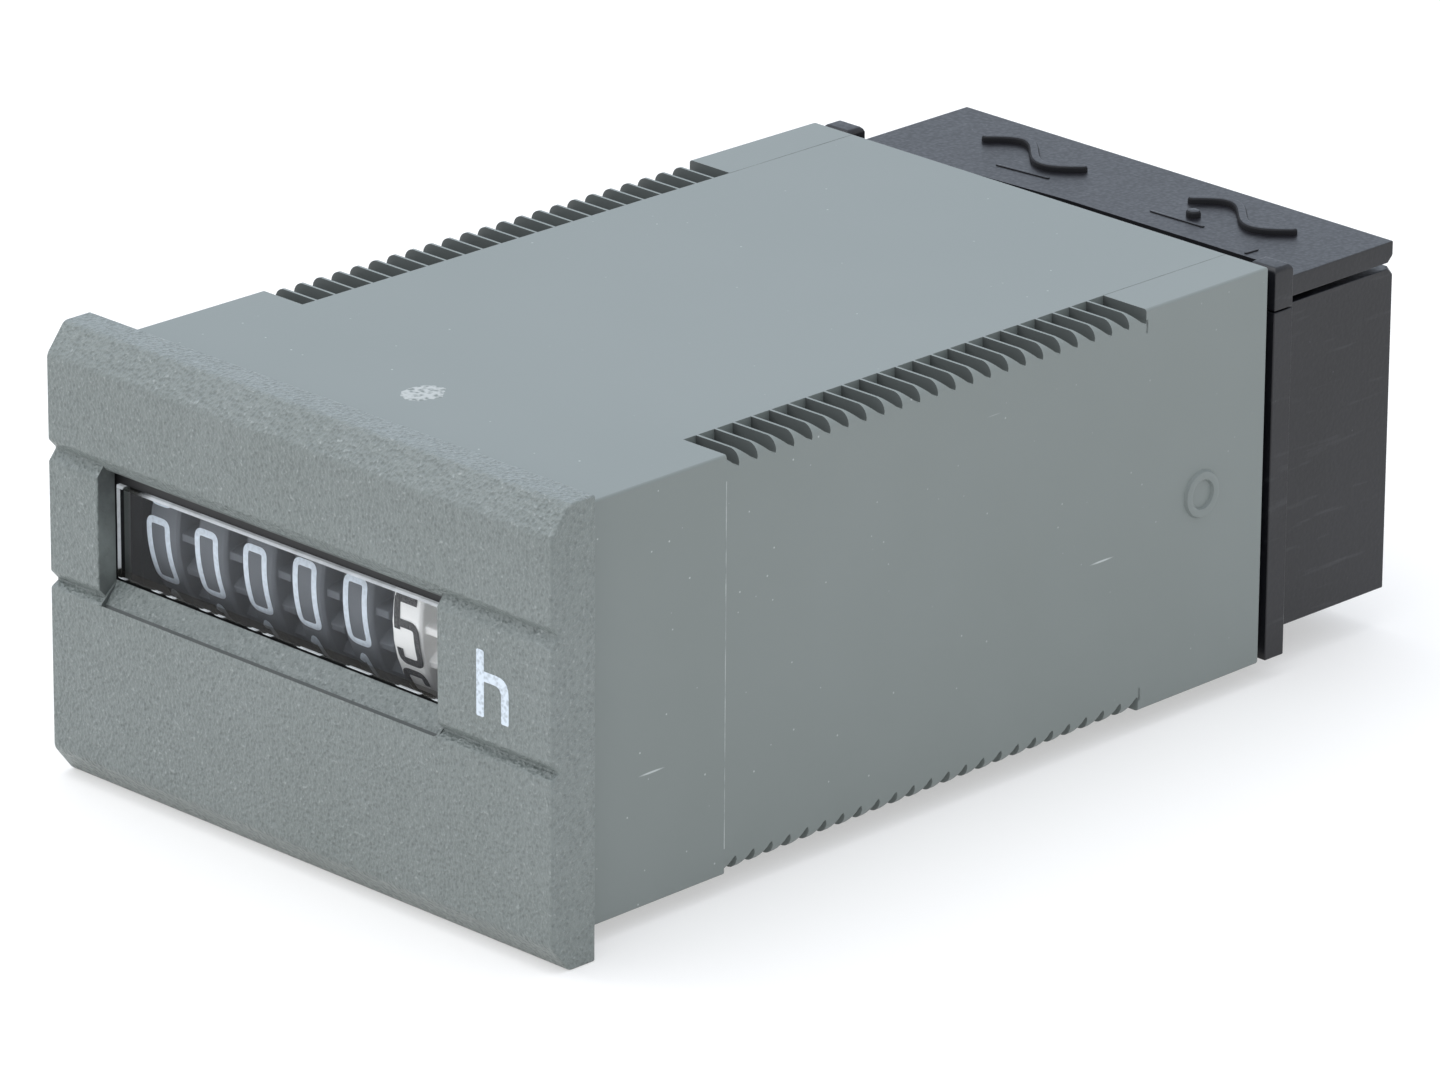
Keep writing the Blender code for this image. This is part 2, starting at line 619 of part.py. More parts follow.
def build_motor(can, case, steel):
    """Synchronous motor with its reduction gearbox, and the posts that hold it to the right cheek."""
    profile = [(can_left - MOTOR_CAP_LENGTH, 0.0), (can_left - MOTOR_CAP_LENGTH, MOTOR_CAP_RADIUS),
               (can_left, MOTOR_CAP_RADIUS), (can_left, motor_radius - MOTOR_EDGE),
               (can_left + MOTOR_EDGE, motor_radius), (can_right, motor_radius), (can_right, 0.0)]
    finish(to_object("motor_can", moved(turned(profile, 32), y=motor_y, z=motor_z)), can, True)
    bore = MOTOR_SHAFT_RADIUS + RUNNING_FIT
    profile = [(gearbox_left, 0.0), (gearbox_left, motor_radius), (gearbox_right - MOTOR_EDGE, motor_radius),
               (gearbox_right, motor_radius - MOTOR_EDGE), (gearbox_right, BEARING_RADIUS),
               (gearbox_right + BEARING_LENGTH, BEARING_RADIUS), (gearbox_right + BEARING_LENGTH, bore),
               (gearbox_right - MOTOR_SHAFT_ENTRY, bore), (gearbox_right - MOTOR_SHAFT_ENTRY, 0.0)]
    finish(to_object("gearbox_case", moved(turned(profile, 32), y=motor_y, z=motor_z)), case, True)
    for name, sign in (("motor_post_upper", 1), ("motor_post_lower", -1)):
        y = motor_y + motor_post_reach * math.cos(MOTOR_POST_ANGLE)
        z = motor_z + sign * motor_post_reach * math.sin(MOTOR_POST_ANGLE)
        outline = circle(MOTOR_POST_RADIUS, 16, (y, z))
        post = prism(outline, "X", gearbox_right + PRESS_FIT, cheek_in - PRESS_FIT)
        finish(to_object(name, post), steel, True)


def wire(points, radius, sides):
    """A round wire along a line of points, as a closed mesh."""
    curve = bpy.data.curves.new("wire", "CURVE")
    curve.dimensions = "3D"
    curve.bevel_depth = radius
    curve.bevel_resolution = max(0, sides // 4 - 1)
    curve.use_fill_caps = True
    line = curve.splines.new("POLY")
    line.points.add(len(points) - 1)
    for point, place in zip(line.points, points):
        point.co = (*place, 1.0)
    holder = bpy.data.objects.new("wire", curve)
    bpy.context.scene.collection.objects.link(holder)
    bpy.context.view_layer.update()
    graph = bpy.context.evaluated_depsgraph_get()
    mesh = bpy.data.meshes.new_from_object(holder.evaluated_get(graph))
    shape = bmesh.new()
    shape.from_mesh(mesh)
    bmesh.ops.remove_doubles(shape, verts=shape.verts, dist=0.001 * MM)
    bpy.data.objects.remove(holder)
    return shape


def terminal_places():
    return (("left", -TERMINAL_SPACING / 2), ("right", TERMINAL_SPACING / 2))


def resistor_leads():
    """The two bent leads of the series resistor, from its ends into the board."""
    y = board_front - RESISTOR_STANDOFF
    paths = []
    for sign in (-1, 1):
        x = sign * RESISTOR_LENGTH / 2
        bend = x + sign * LEAD_REACH
        paths.append([(x - sign * EPS, y, resistor_z), (bend - sign * LEAD_RADIUS, y, resistor_z),
                      (bend, y + LEAD_RADIUS, resistor_z), (bend, board_back + RUNNING_FIT, resistor_z)])
    return paths


def build_board(laminate, film, ceramic, wire_cover):
    """Circuit board in front of the terminal spigot, its two components and the motor's wires."""
    half_x = cavity_x - BOARD_SIDE_GAP
    board = to_object("circuit_board", box((-half_x, board_front, -board_half_z),
                                           (half_x, board_back, board_half_z)))
    tools = bmesh.new()
    for side, x in terminal_places():
        half = TAIL_WIDTH / 2 + SLOT_FIT
        box((x - half, board_front - EPS, strip_bottom - SLOT_FIT),
            (x + half, board_back + EPS, strip_top + SLOT_FIT), into=tools)
    for path in resistor_leads():
        x, y, z = path[-1]
        hole = circle(LEAD_RADIUS + SLOT_FIT, 12, (x, z))
        prism(hole, "Y", board_front - EPS, board_back + EPS, into=tools)
    cut(board, tools)
    finish(board, laminate)

    wide, high = CAPACITOR_WIDTH / 2, CAPACITOR_HEIGHT / 2
    back = board_front - PRESS_FIT
    shape = box((-wide, back - CAPACITOR_DEPTH, capacitor_z - high),
                (wide, back, capacitor_z + high))
    bmesh.ops.bevel(shape, geom=list(shape.edges), offset=CAPACITOR_EDGE, segments=1, profile=0.5,
                    affect="EDGES", material=-1)
    finish(to_object("film_capacitor", shape), film)

    half = RESISTOR_LENGTH / 2
    waist = RESISTOR_RADIUS * 0.86
    cap = half * 0.62
    profile = [(-half, 0.0), (-half, RESISTOR_RADIUS * 0.8), (0.1 * half - half, RESISTOR_RADIUS),
               (-cap, RESISTOR_RADIUS), (-cap + 0.1 * half, waist), (cap - 0.1 * half, waist),
               (cap, RESISTOR_RADIUS), (half - 0.1 * half, RESISTOR_RADIUS), (half, RESISTOR_RADIUS * 0.8),
               (half, 0.0)]
    body = moved(turned(profile, 16), y=board_front - RESISTOR_STANDOFF, z=resistor_z)
    made = to_object("series_resistor", body)
    for path in resistor_leads():
        join(made, wire(path, LEAD_RADIUS, 8))
    finish(made, ceramic, True)

    for name, sign in (("motor_wire_1", -1), ("motor_wire_2", 1)):
        x = motor_wire_x + sign * MOTOR_WIRE_SPACING / 2
        z = motor_wire_z
        near = motor_y + math.sqrt(motor_radius ** 2 - (z - motor_z) ** 2) + MOTOR_WIRE_RADIUS
        far = board_front - PRESS_FIT
        path = []
        count = 10
        for i in range(count + 1):
            t = i / count
            path.append((x, near + (far - near) * t, z + MOTOR_WIRE_BOW * math.sin(math.pi * t) ** 2))
        finish(to_object(name, wire(path, MOTOR_WIRE_RADIUS, 8)), wire_cover, True)


def build_terminal_block(surface):
    """Black block behind the housing: spigot, flange, two clamp chambers and their wire entries."""
    spigot_x, spigot_z = cavity_x - SEAT_GAP, cavity_z - SEAT_GAP
    made = to_object("terminal_block", box((-block_half, flange_front + FLANGE_THICKNESS / 2, block_low),
                                           (block_half, block_back, block_top)))
    join(made, box((-flange_half, flange_front, flange_low), (flange_half, flange_back, block_top)))
    join(made, box((-spigot_x, spigot_front, -spigot_z),
                   (spigot_x, flange_front + FLANGE_THICKNESS / 2, min(spigot_z, block_top))))
    cut(made, box((SPIGOT_RIM - spigot_x, spigot_front - EPS, SPIGOT_RIM - spigot_z),
                  (spigot_x - SPIGOT_RIM, spigot_front + SPIGOT_POCKET, spigot_z - SPIGOT_RIM)))
    for side, x in terminal_places():
        half = CHAMBER_WIDTH / 2
        cut(made, box((x - half, chamber_front, chamber_floor), (x + half, chamber_back, block_top + EPS)))
        half = STRIP_WIDTH / 2 + SLOT_FIT
        cut(made, box((x - half, spigot_front, strip_bottom - SLOT_FIT),
                      (x + half, screw_y, strip_top + SLOT_FIT)))
        ends = []
        mouth = ENTRY_WIDTH / 2
        for y, grow in ((chamber_back - EPS, 0.0), (block_back - ENTRY_FLARE, 0.0), (block_back, ENTRY_FLARE),
                        (block_back + EPS, ENTRY_FLARE)):
            r = mouth + grow
            low, high = wire_z - r, wire_z + r
            ends.append([(x - r, y, low), (x + r, y, low), (x + r, y, high), (x - r, y, high)])
        for first, second in zip(ends, ends[1:]):
            cut(made, loft(first, second))
    for sign in (-1, 1):
        hole = circle(PEG_RADIUS + SLOT_FIT, 16, (sign * peg_x, screw_y))
        cut(made, prism(hole, "Z", block_top - PEG_LENGTH, block_top + EPS))
    return finish(made, surface)


def build_cover(surface):
    """Snap-on cover over the terminal screws, with two ears beside the housing's rear edge."""
    made = to_object("terminal_cover", box((-block_half, flange_front + FLANGE_THICKNESS / 2, cover_bottom),
                                           (block_half, block_back, cover_top)))
    ear = flange_half - EAR_WIDTH
    ear_top = half_height(BODY_LENGTH) - EAR_STEP_TOP
    outline = [(-flange_half, cover_bottom), (flange_half, cover_bottom), (flange_half, ear_top),
               (ear, ear_top), (ear, cover_top), (-ear, cover_top), (-ear, ear_top), (-flange_half, ear_top)]
    join(made, prism(outline, "Y", flange_front, flange_back))
    for sign in (-1, 1):
        peg = circle(PEG_RADIUS, 16, (sign * peg_x, screw_y))
        join(made, prism(peg, "Z", block_top - PEG_LENGTH + SEAT_GAP, cover_bottom + COVER_THICKNESS / 2))
    finish(made, surface)


def build_terminals(brass, plated):
    """Contact strips, lifting clamp cages and slotted screws of the two terminals."""
    for side, x in terminal_places():
        wide, thin = STRIP_WIDTH / 2, TAIL_WIDTH / 2
        step = spigot_front + EPS
        back = screw_y + CAGE_LENGTH / 2
        tail = board_front - TAIL_PAST_BOARD
        outline = [(x - thin, tail), (x + thin, tail), (x + thin, step), (x + wide, step), (x + wide, back),
                   (x - wide, back), (x - wide, step), (x - thin, step)]
        finish(to_object("contact_strip_" + side, prism(outline, "Z", strip_bottom, strip_top)), brass)

        inner = STRIP_WIDTH / 2 + LENS_GAP
        outer = inner + CAGE_WALL
        length = CAGE_LENGTH / 2
        cage = to_object("clamp_cage_" + side, box((-outer, -length, cage_bottom), (outer, length, roof_top)))
        cut(cage, box((-inner, -length - EPS, cage_floor), (inner, length + EPS, roof_bottom)))
        cut(cage, prism(circle(SCREW_RADIUS + RUNNING_FIT, 20), "Z", cage_floor, roof_top + EPS))
        finish(cage, plated)
        cage.location = (x, screw_y, 0.0)

        shank = strip_top + SLOT_FIT
        head = prism(circle(SCREW_HEAD_RADIUS, 24), "Z", head_bottom, head_top)
        made = to_object("terminal_screw_" + side, head)
        join(made, prism(circle(SCREW_RADIUS, 20), "Z", shank, head_bottom + SCREW_HEAD_HEIGHT / 4))
        cut(made, box((-SCREW_HEAD_RADIUS - EPS, -SCREW_SLOT_WIDTH / 2, head_top - SCREW_SLOT_DEPTH),
                      (SCREW_HEAD_RADIUS + EPS, SCREW_SLOT_WIDTH / 2, head_top + EPS)))
        finish(made, plated, True)
        made.location = (x, screw_y, 0.0)


def build():
    remove_everything()
    grey = new_material("grey_abs", (0.22, 0.25, 0.245), 0.5)
    clear = new_material("clear_plastic", (0.9, 0.92, 0.92), 0.05, transmission=1.0)
    black = new_material("black_plastic", (0.015, 0.015, 0.016), 0.5)
    frame = new_material("cheek_steel", (0.35, 0.35, 0.36), 0.4, metallic=1.0)
    white = new_material("ivory_plastic", (0.8, 0.78, 0.72), 0.45)
    steel = new_material("bright_steel", (0.55, 0.56, 0.58), 0.3, metallic=1.0)
    brass = new_material("brass", (0.68, 0.5, 0.22), 0.3, metallic=1.0)
    can = new_material("zinc_plated_can", (0.5, 0.51, 0.52), 0.35, metallic=1.0)
    case = new_material("gearbox_plastic", (0.05, 0.05, 0.06), 0.5)
    laminate = new_material("board_laminate", (0.03, 0.16, 0.07), 0.5)
    film = new_material("capacitor_film", (0.45, 0.05, 0.03), 0.45)
    ceramic = new_material("resistor_body", (0.55, 0.5, 0.38), 0.6)
    cover = new_material("wire_cover", (0.03, 0.05, 0.3), 0.5)
    plated = new_material("plated_steel", (0.6, 0.6, 0.58), 0.3, metallic=1.0)
    build_housing(grey)
    build_lens(clear)
    build_cheeks(frame)
    build_shafts(steel, brass, black)
    build_drums(black, white)
    build_gears(brass, white, steel)
    build_motor(can, case, steel)
    build_board(laminate, film, ceramic, cover)
    build_terminal_block(black)
    build_cover(black)
    build_terminals(brass, plated)


build()
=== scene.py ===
import math

import bmesh
import bpy
from mathutils import Matrix, Vector, noise


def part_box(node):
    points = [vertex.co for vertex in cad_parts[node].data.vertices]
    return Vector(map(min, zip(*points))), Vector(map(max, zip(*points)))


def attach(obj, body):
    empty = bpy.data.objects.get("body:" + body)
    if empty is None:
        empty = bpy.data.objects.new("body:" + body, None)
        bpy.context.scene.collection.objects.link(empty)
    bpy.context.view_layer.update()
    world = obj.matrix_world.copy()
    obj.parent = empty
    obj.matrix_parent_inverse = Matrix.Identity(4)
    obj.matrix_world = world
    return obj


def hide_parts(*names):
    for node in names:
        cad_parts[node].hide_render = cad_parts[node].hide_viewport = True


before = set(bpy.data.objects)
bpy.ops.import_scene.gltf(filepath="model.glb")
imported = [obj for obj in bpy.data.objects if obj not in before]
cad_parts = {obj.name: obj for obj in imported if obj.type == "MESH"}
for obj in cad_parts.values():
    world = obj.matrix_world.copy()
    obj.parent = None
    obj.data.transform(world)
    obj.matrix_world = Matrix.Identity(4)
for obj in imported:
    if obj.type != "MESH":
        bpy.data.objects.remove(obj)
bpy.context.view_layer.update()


# Housing: bezel and body
# One grey ABS moulding. The bezel in front of the panel has soft edges, two scored lines and the window;
# the body behind it is a drafted tube with a notch along each corner for the ratchet teeth.
MM = 0.001
TINY = 0.0005 * MM
CHAMFER_HEIGHT, CHAMFER_DEPTH = 1.5 * MM, 1.2 * MM
SCORE_REACH, SCORE_DEPTH, SCORE_FLAT = 0.55 * MM, 0.45 * MM, 0.1 * MM
LOWER_LIP = -1.86 * MM
CEILING_LIP, CEILING_BACK = (0.45 * MM, 5.36 * MM), (0.5 * MM, 5.25 * MM)
SILL_START, SILL_FOOT = (0.37 * MM, -1.89 * MM), (0.24 * MM, -2.03 * MM)
LIP_RUN = 0.12 * MM
WINDOW_LEFT, WINDOW_RIGHT = -14.367 * MM, 10.067 * MM
WINDOW_LOW, WINDOW_HIGH = -1.5 * MM, 5.4 * MM
SILL = -0.8 * MM
SHOULDER = -1.75 * MM
POCKET_OVERLAP = 0.55 * MM
BODY_HALF_WIDTH, BODY_HALF_HEIGHT = 16.6 * MM, 11.0 * MM
SIDE_DRAFT, TOP_DRAFT = math.tan(math.radians(0.5)), math.tan(math.radians(0.2))
CAVITY_FRONT, CAVITY_X, CAVITY_Z = -0.9 * MM, 14.817 * MM, 9.277 * MM
WALL_MARGIN, CEILING_MARGIN = 0.5 * MM, 0.02 * MM
COLLAR_END, TOOTH_END = 10.25 * MM, 40.33 * MM
NOTCH_X, NOTCH_Z = 13.28 * MM, 9.6 * MM
BEZEL_SOFT_EDGE, BEZEL_EDGE, BODY_EDGE = 0.2 * MM, 0.11 * MM, 0.15 * MM
BEZEL_EDGE_ANGLE, LONG_EDGE = math.radians(20.0), 1.0 * MM
PRINT_ROOM = 0.02 * MM
SORT_WAY = Vector((1.0, 0.7317, 0.4193))


def only(kind, items):
    """The corners, the edges or the faces among an operator's results."""
    return [item for item in items if isinstance(item, kind)]


def pushed(shape, faces, offset=(0.0, 0.0, 0.0)):
    """Extrudes faces by an offset and returns the faces at the new place; a first lone face stays."""
    attached = any(len(edge.link_faces) > 1 for face in faces for edge in face.edges)
    grown = bmesh.ops.extrude_face_region(shape, geom=faces)["geom"]
    bmesh.ops.translate(shape, verts=only(bmesh.types.BMVert, grown), vec=offset)
    if attached:
        bmesh.ops.delete(shape, geom=faces, context="FACES")
    return only(bmesh.types.BMFace, grown)


def stepped(shape, face, y, low, high):
    """Extrudes a four-sided face and sets its new corners on a rectangle at depth y."""
    middle = face.calc_center_median()
    made = pushed(shape, [face])[0]
    for corner in made.verts:
        x = high[0] if corner.co.x > middle.x else low[0]
        z = high[1] if corner.co.z > middle.z else low[1]
        corner.co = (x, y, z)
    return made


def sorted_parts(shape):
    """Sorts edges and faces by place, because extruding leaves them in another order each run."""
    shape.edges.sort(key=lambda edge: (edge.verts[0].co + edge.verts[1].co).dot(SORT_WAY))
    shape.faces.sort(key=lambda face: face.calc_center_median().dot(SORT_WAY))


def welded(shape, steady=False):
    """Merges doubled corners and flat neighbours, in the same order each run if steady."""
    bmesh.ops.remove_doubles(shape, verts=shape.verts, dist=TINY)
    if steady:
        sorted_parts(shape)
    bmesh.ops.dissolve_limit(shape, angle_limit=math.radians(0.02), verts=shape.verts, edges=shape.edges)
    shape.normal_update()


def rounded(shape, edges, width, segments=3):
    """Rounds edges over with a bevel."""
    bmesh.ops.bevel(shape, geom=edges, offset=width, segments=segments, profile=0.5, affect="EDGES",
                    material=-1, clamp_overlap=True)


def sliced(shape, parts, point, direction, clear=False):
    """Cuts parts of a shape along a plane, and clears what lies beyond it if asked."""
    return bmesh.ops.bisect_plane(shape, geom=parts, dist=TINY / 10, plane_co=point, plane_no=direction,
                                  clear_outer=clear)["geom_cut"]


def edges_where(shape, test):
    """The edges whose corners all pass a test of their place."""
    return [edge for edge in shape.edges if all(test(corner.co) for corner in edge.verts)]


def faces_where(shape, test):
    """The faces whose corners all pass a test of their place."""
    return [face for face in shape.faces if all(test(corner.co) for corner in face.verts)]


def close(a, b):
    """Whether two lengths are the same to a hundredth of a millimetre."""
    return abs(a - b) < 20 * TINY


def body_side(y):
    """Half the body's width at a depth."""
    return BODY_HALF_WIDTH - y * SIDE_DRAFT


def body_top(y):
    """Half the body's height at a depth."""
    return BODY_HALF_HEIGHT - y * TOP_DRAFT


housing_low, housing_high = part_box("housing")
bezel_front, bezel_rim = housing_low.y + PRINT_ROOM, housing_low.y + CHAMFER_DEPTH
bezel_top, body_end = housing_high.z, housing_high.y
outline = [(0.0, bezel_top), (bezel_rim, bezel_top), (bezel_front, bezel_top - CHAMFER_HEIGHT)]
scores = [(WINDOW_HIGH + SCORE_FLAT, CEILING_LIP), (WINDOW_HIGH, CEILING_BACK),
          (WINDOW_LOW, SILL_START), (WINDOW_LOW - SCORE_FLAT, SILL_FOOT)]
for level, lip in ((WINDOW_HIGH, WINDOW_HIGH - SCORE_REACH), (WINDOW_LOW - SCORE_FLAT, LOWER_LIP)):
    outline.append((bezel_front, level + SCORE_REACH + SCORE_FLAT / 2))
    outline.append((bezel_front + SCORE_DEPTH, level + SCORE_FLAT))
    outline.append((bezel_front + SCORE_DEPTH, level))
    outline.append((bezel_front, lip))
outline += [(bezel_front, CHAMFER_HEIGHT - bezel_top), (bezel_rim, -bezel_top), (0.0, -bezel_top)]

housing = bmesh.new()
section = [housing.faces.new([housing.verts.new((housing_low.x, y, z)) for y, z in outline])]
stations = [housing_low.x, WINDOW_LEFT, WINDOW_LEFT + LIP_RUN, WINDOW_RIGHT - LIP_RUN, WINDOW_RIGHT,
            housing_high.x]
for start, end in zip(stations, stations[1:]):
    section = pushed(housing, section, (end - start, 0.0, 0.0))
for corner in housing.verts:
    at_window = WINDOW_LEFT + TINY < corner.co.x < WINDOW_RIGHT - TINY
    if at_window and close(corner.co.y, bezel_front + SCORE_DEPTH):
        depth, level = next(place for height, place in scores if close(corner.co.z, height))
        corner.co.yz = (bezel_front + depth, level)

band = []
for face in housing.faces:
    middle = face.calc_center_median()
    in_width = WINDOW_LEFT < middle.x < WINDOW_RIGHT
    in_height = SILL_START[1] < middle.z < CEILING_BACK[1] + CEILING_MARGIN
    if in_width and in_height and middle.y < bezel_rim:
        band.append(face)
window_middle = (WINDOW_LOW + WINDOW_HIGH) / 2
for corner in {corner for face in pushed(housing, band) for corner in face.verts}:
    corner.co.y = SHOULDER
    corner.co.z = WINDOW_HIGH if corner.co.z > window_middle else SILL
bmesh.ops.recalc_face_normals(housing, faces=housing.faces)
welded(housing, steady=True)
recess = faces_where(housing, lambda co: close(co.y, SHOULDER))

face = max(housing.faces, key=lambda one: one.normal.y * one.calc_area())
for y in (0.0, COLLAR_END, TOOTH_END, body_end):
    side, top = body_side(y), body_top(y)
    face = stepped(housing, face, y, (-side, -top), (side, top))
for y in (body_end, CAVITY_FRONT):
    face = stepped(housing, face, y, (-CAVITY_X, -CAVITY_Z), (CAVITY_X, CAVITY_Z))
pocket_low = (WINDOW_LEFT - POCKET_OVERLAP, SILL - POCKET_OVERLAP)
pocket_high = (WINDOW_RIGHT + POCKET_OVERLAP, WINDOW_HIGH + POCKET_OVERLAP)
for y in (CAVITY_FRONT, SHOULDER):
    face = stepped(housing, face, y, pocket_low, pocket_high)
face = stepped(housing, face, SHOULDER, (WINDOW_LEFT, SILL), (WINDOW_RIGHT, WINDOW_HIGH))
bmesh.ops.delete(housing, geom=[face] + recess, context="FACES")
bmesh.ops.remove_doubles(housing, verts=housing.verts, dist=TINY)

for normal in ((1, 0, 0), (-1, 0, 0), (0, 0, 1), (0, 0, -1)):
    run = []
    for face in housing.faces:
        middle = face.calc_center_median()
        outside = abs(middle.x) > CAVITY_X + WALL_MARGIN or abs(middle.z) > CAVITY_Z + WALL_MARGIN
        if outside and COLLAR_END < middle.y < TOOTH_END:
            run.append(face)
    run_edges = list(dict.fromkeys(edge for face in run for edge in face.edges))
    run_corners = list(dict.fromkeys(corner for face in run for corner in face.verts))
    sliced(housing, run_corners + run_edges + run, (NOTCH_X * normal[0], 0.0, NOTCH_Z * normal[2]), normal)
for side in (-1, 1):
    for up in (-1, 1):
        corner_faces = []
        for face in housing.faces:
            middle = face.calc_center_median()
            outside = side * middle.x > NOTCH_X and up * middle.z > NOTCH_Z
            if outside and COLLAR_END < middle.y < TOOTH_END:
                corner_faces.append(face)
        for corner in {corner for face in pushed(housing, corner_faces) for corner in face.verts}:
            if side * corner.co.x > NOTCH_X + TINY and up * corner.co.z > NOTCH_Z + TINY:
                corner.co.x, corner.co.z = side * NOTCH_X, up * NOTCH_Z
for corner in housing.verts:
    if close(corner.co.y, COLLAR_END) and close(abs(corner.co.x), NOTCH_X):
        corner.co.x = math.copysign(NOTCH_X + (TOOTH_END - COLLAR_END) * SIDE_DRAFT, corner.co.x)
bmesh.ops.recalc_face_normals(housing, faces=housing.faces)
welded(housing, steady=True)

soft = []
for y, z in ((bezel_rim, bezel_top), (bezel_front, bezel_top - CHAMFER_HEIGHT)):
    soft += edges_where(housing, lambda co: close(co.y, y) and close(abs(co.z), z))
rounded(housing, soft, BEZEL_SOFT_EDGE)
firm = set(edges_where(housing, lambda co: close(abs(co.x), housing_high.x)))
firm |= set(edges_where(housing, lambda co: close(co.y, 0.0) and close(abs(co.z), bezel_top)))
firm |= set(edges_where(housing, lambda co: close(co.y, bezel_front)))
firm -= set(edges_where(housing, lambda co: close(co.z, LOWER_LIP) and WINDOW_LEFT < co.x < WINDOW_RIGHT))
firm = [edge for edge in housing.edges if edge in firm]
firm = [edge for edge in firm if edge.calc_face_angle_signed(0.0) > BEZEL_EDGE_ANGLE]
rounded(housing, firm, BEZEL_EDGE)
long_edges = []
for edge in housing.edges:
    a, b = edge.verts[0].co, edge.verts[1].co
    middle = (a + b) / 2
    on_corner = close(abs(middle.x), body_side(middle.y)) and close(abs(middle.z), body_top(middle.y))
    on_rim = close(middle.y, body_end) and (close(abs(middle.x), body_side(body_end))
                                            or close(abs(middle.z), body_top(body_end)))
    if (on_corner and abs(a.y - b.y) > LONG_EDGE and not COLLAR_END < middle.y < TOOTH_END) or on_rim:
        long_edges.append(edge)
rounded(housing, long_edges, BODY_EDGE)


# Housing: ratchet teeth
# Twenty-four saw teeth run along each corner of the body and hold the clip frame that pulls the bezel
# against the panel. Each slot falls away to the rear and ends in a steep face; the corner is rounded over.
TOOTH_PITCH, TOOTH_DEPTH, TOOTH_LAND = 1.27 * MM, 0.9 * MM, 0.15 * MM
TOOTH_START, TOOTH_COUNT = 10.0 * MM, 24
CREST_ROUND, CREST_STEPS = 0.65 * MM, 6
ROOT_ROUND, ROOT_STEPS, UNDIVIDED = 0.28 * MM, 3, 5.0 * MM


def all_parts(shape):
    """All corners, edges and faces of a shape."""
    return [*shape.verts, *shape.edges, *shape.faces]


def rounded_path(points, radius, steps=5, longest=0.2 * MM):
    """A path whose inner corners are turned into short arcs and whose straight runs are divided."""
    path = [Vector(points[0])]
    for before, corner, after in zip(points, points[1:], points[2:]):
        corner = Vector(corner)
        inward, outward = Vector(before) - corner, Vector(after) - corner
        reach = min(radius, inward.length * 0.49, outward.length * 0.49)
        start, end = corner + inward.normalized() * reach, corner + outward.normalized() * reach
        for step in range(steps + 1):
            share = step / steps
            path.append(start * (1 - share) ** 2 + corner * 2 * share * (1 - share) + end * share ** 2)
    path.append(Vector(points[-1]))
    divided = [path[0]]
    for end in path[1:]:
        start = divided[-1]
        parts = math.ceil((end - start).length / longest)
        divided += [start.lerp(end, part / parts) for part in range(1, parts + 1)]
    return divided


tooth = bmesh.new()
near, far = TOOTH_START, TOOTH_START + TOOTH_PITCH
low, high = NOTCH_Z, body_top(0.0)
slot_end = far - TOOTH_LAND
slot = [(near, high), (slot_end, high - TOOTH_DEPTH), (slot_end, high)]
slot = rounded_path(slot, ROOT_ROUND, ROOT_STEPS, UNDIVIDED)
saw = [(near, low), *slot, (far, high), (far, low)]
section = tooth.faces.new([tooth.verts.new((NOTCH_X, y, z)) for y, z in saw])
pushed(tooth, [section], (body_side(0.0) - NOTCH_X, 0.0, 0.0))
bmesh.ops.recalc_face_normals(tooth, faces=tooth.faces)
for step in range(1, CREST_STEPS):
    turn = math.pi / 2 * step / CREST_STEPS
    way = Vector((math.cos(turn), 0.0, math.sin(turn)))
    centre = Vector((body_side(0.0) - CREST_ROUND, 0.0, high - CREST_ROUND))
    cut = sliced(tooth, all_parts(tooth), centre + way * CREST_ROUND, way, clear=True)
    bmesh.ops.holes_fill(tooth, edges=only(bmesh.types.BMEdge, cut), sides=0)
upright = [face for face in tooth.faces if abs(face.normal.y) > 0.99]
ends = [face for face in upright if not close(face.calc_center_median().y, slot_end)]
bmesh.ops.delete(tooth, geom=ends, context="FACES_ONLY")
one = all_parts(tooth)
for step in range(1, TOOTH_COUNT):
    copy = bmesh.ops.duplicate(tooth, geom=one)["geom"]
    corners = only(bmesh.types.BMVert, copy)
    bmesh.ops.translate(tooth, verts=corners, vec=(0.0, step * TOOTH_PITCH, 0.0))
bmesh.ops.remove_doubles(tooth, verts=tooth.verts, dist=TINY)
last = [face for face in tooth.faces if face.calc_center_median().y > TOOTH_END - TINY]
bmesh.ops.delete(tooth, geom=last, context="FACES")
for corner in tooth.verts:
    outer = corner.co.x > NOTCH_X + TINY
    corner.co.x -= (corner.co.y if outer else corner.co.y - TOOTH_END) * SIDE_DRAFT
    corner.co.z -= corner.co.y * TOP_DRAFT if corner.co.z > NOTCH_Z + TINY else 0.0
sliced(tooth, all_parts(tooth), (0.0, COLLAR_END, 0.0), (0.0, -1.0, 0.0), clear=True)
for axis in ("X", "Z"):
    bmesh.ops.mirror(tooth, geom=all_parts(tooth), matrix=Matrix.Identity(4), merge_dist=TINY, axis=axis)
bmesh.ops.recalc_face_normals(tooth, faces=tooth.faces)
teeth = bpy.data.meshes.new("ratchet_teeth")
tooth.to_mesh(teeth)
tooth.free()
housing.from_mesh(teeth)
bpy.data.meshes.remove(teeth)


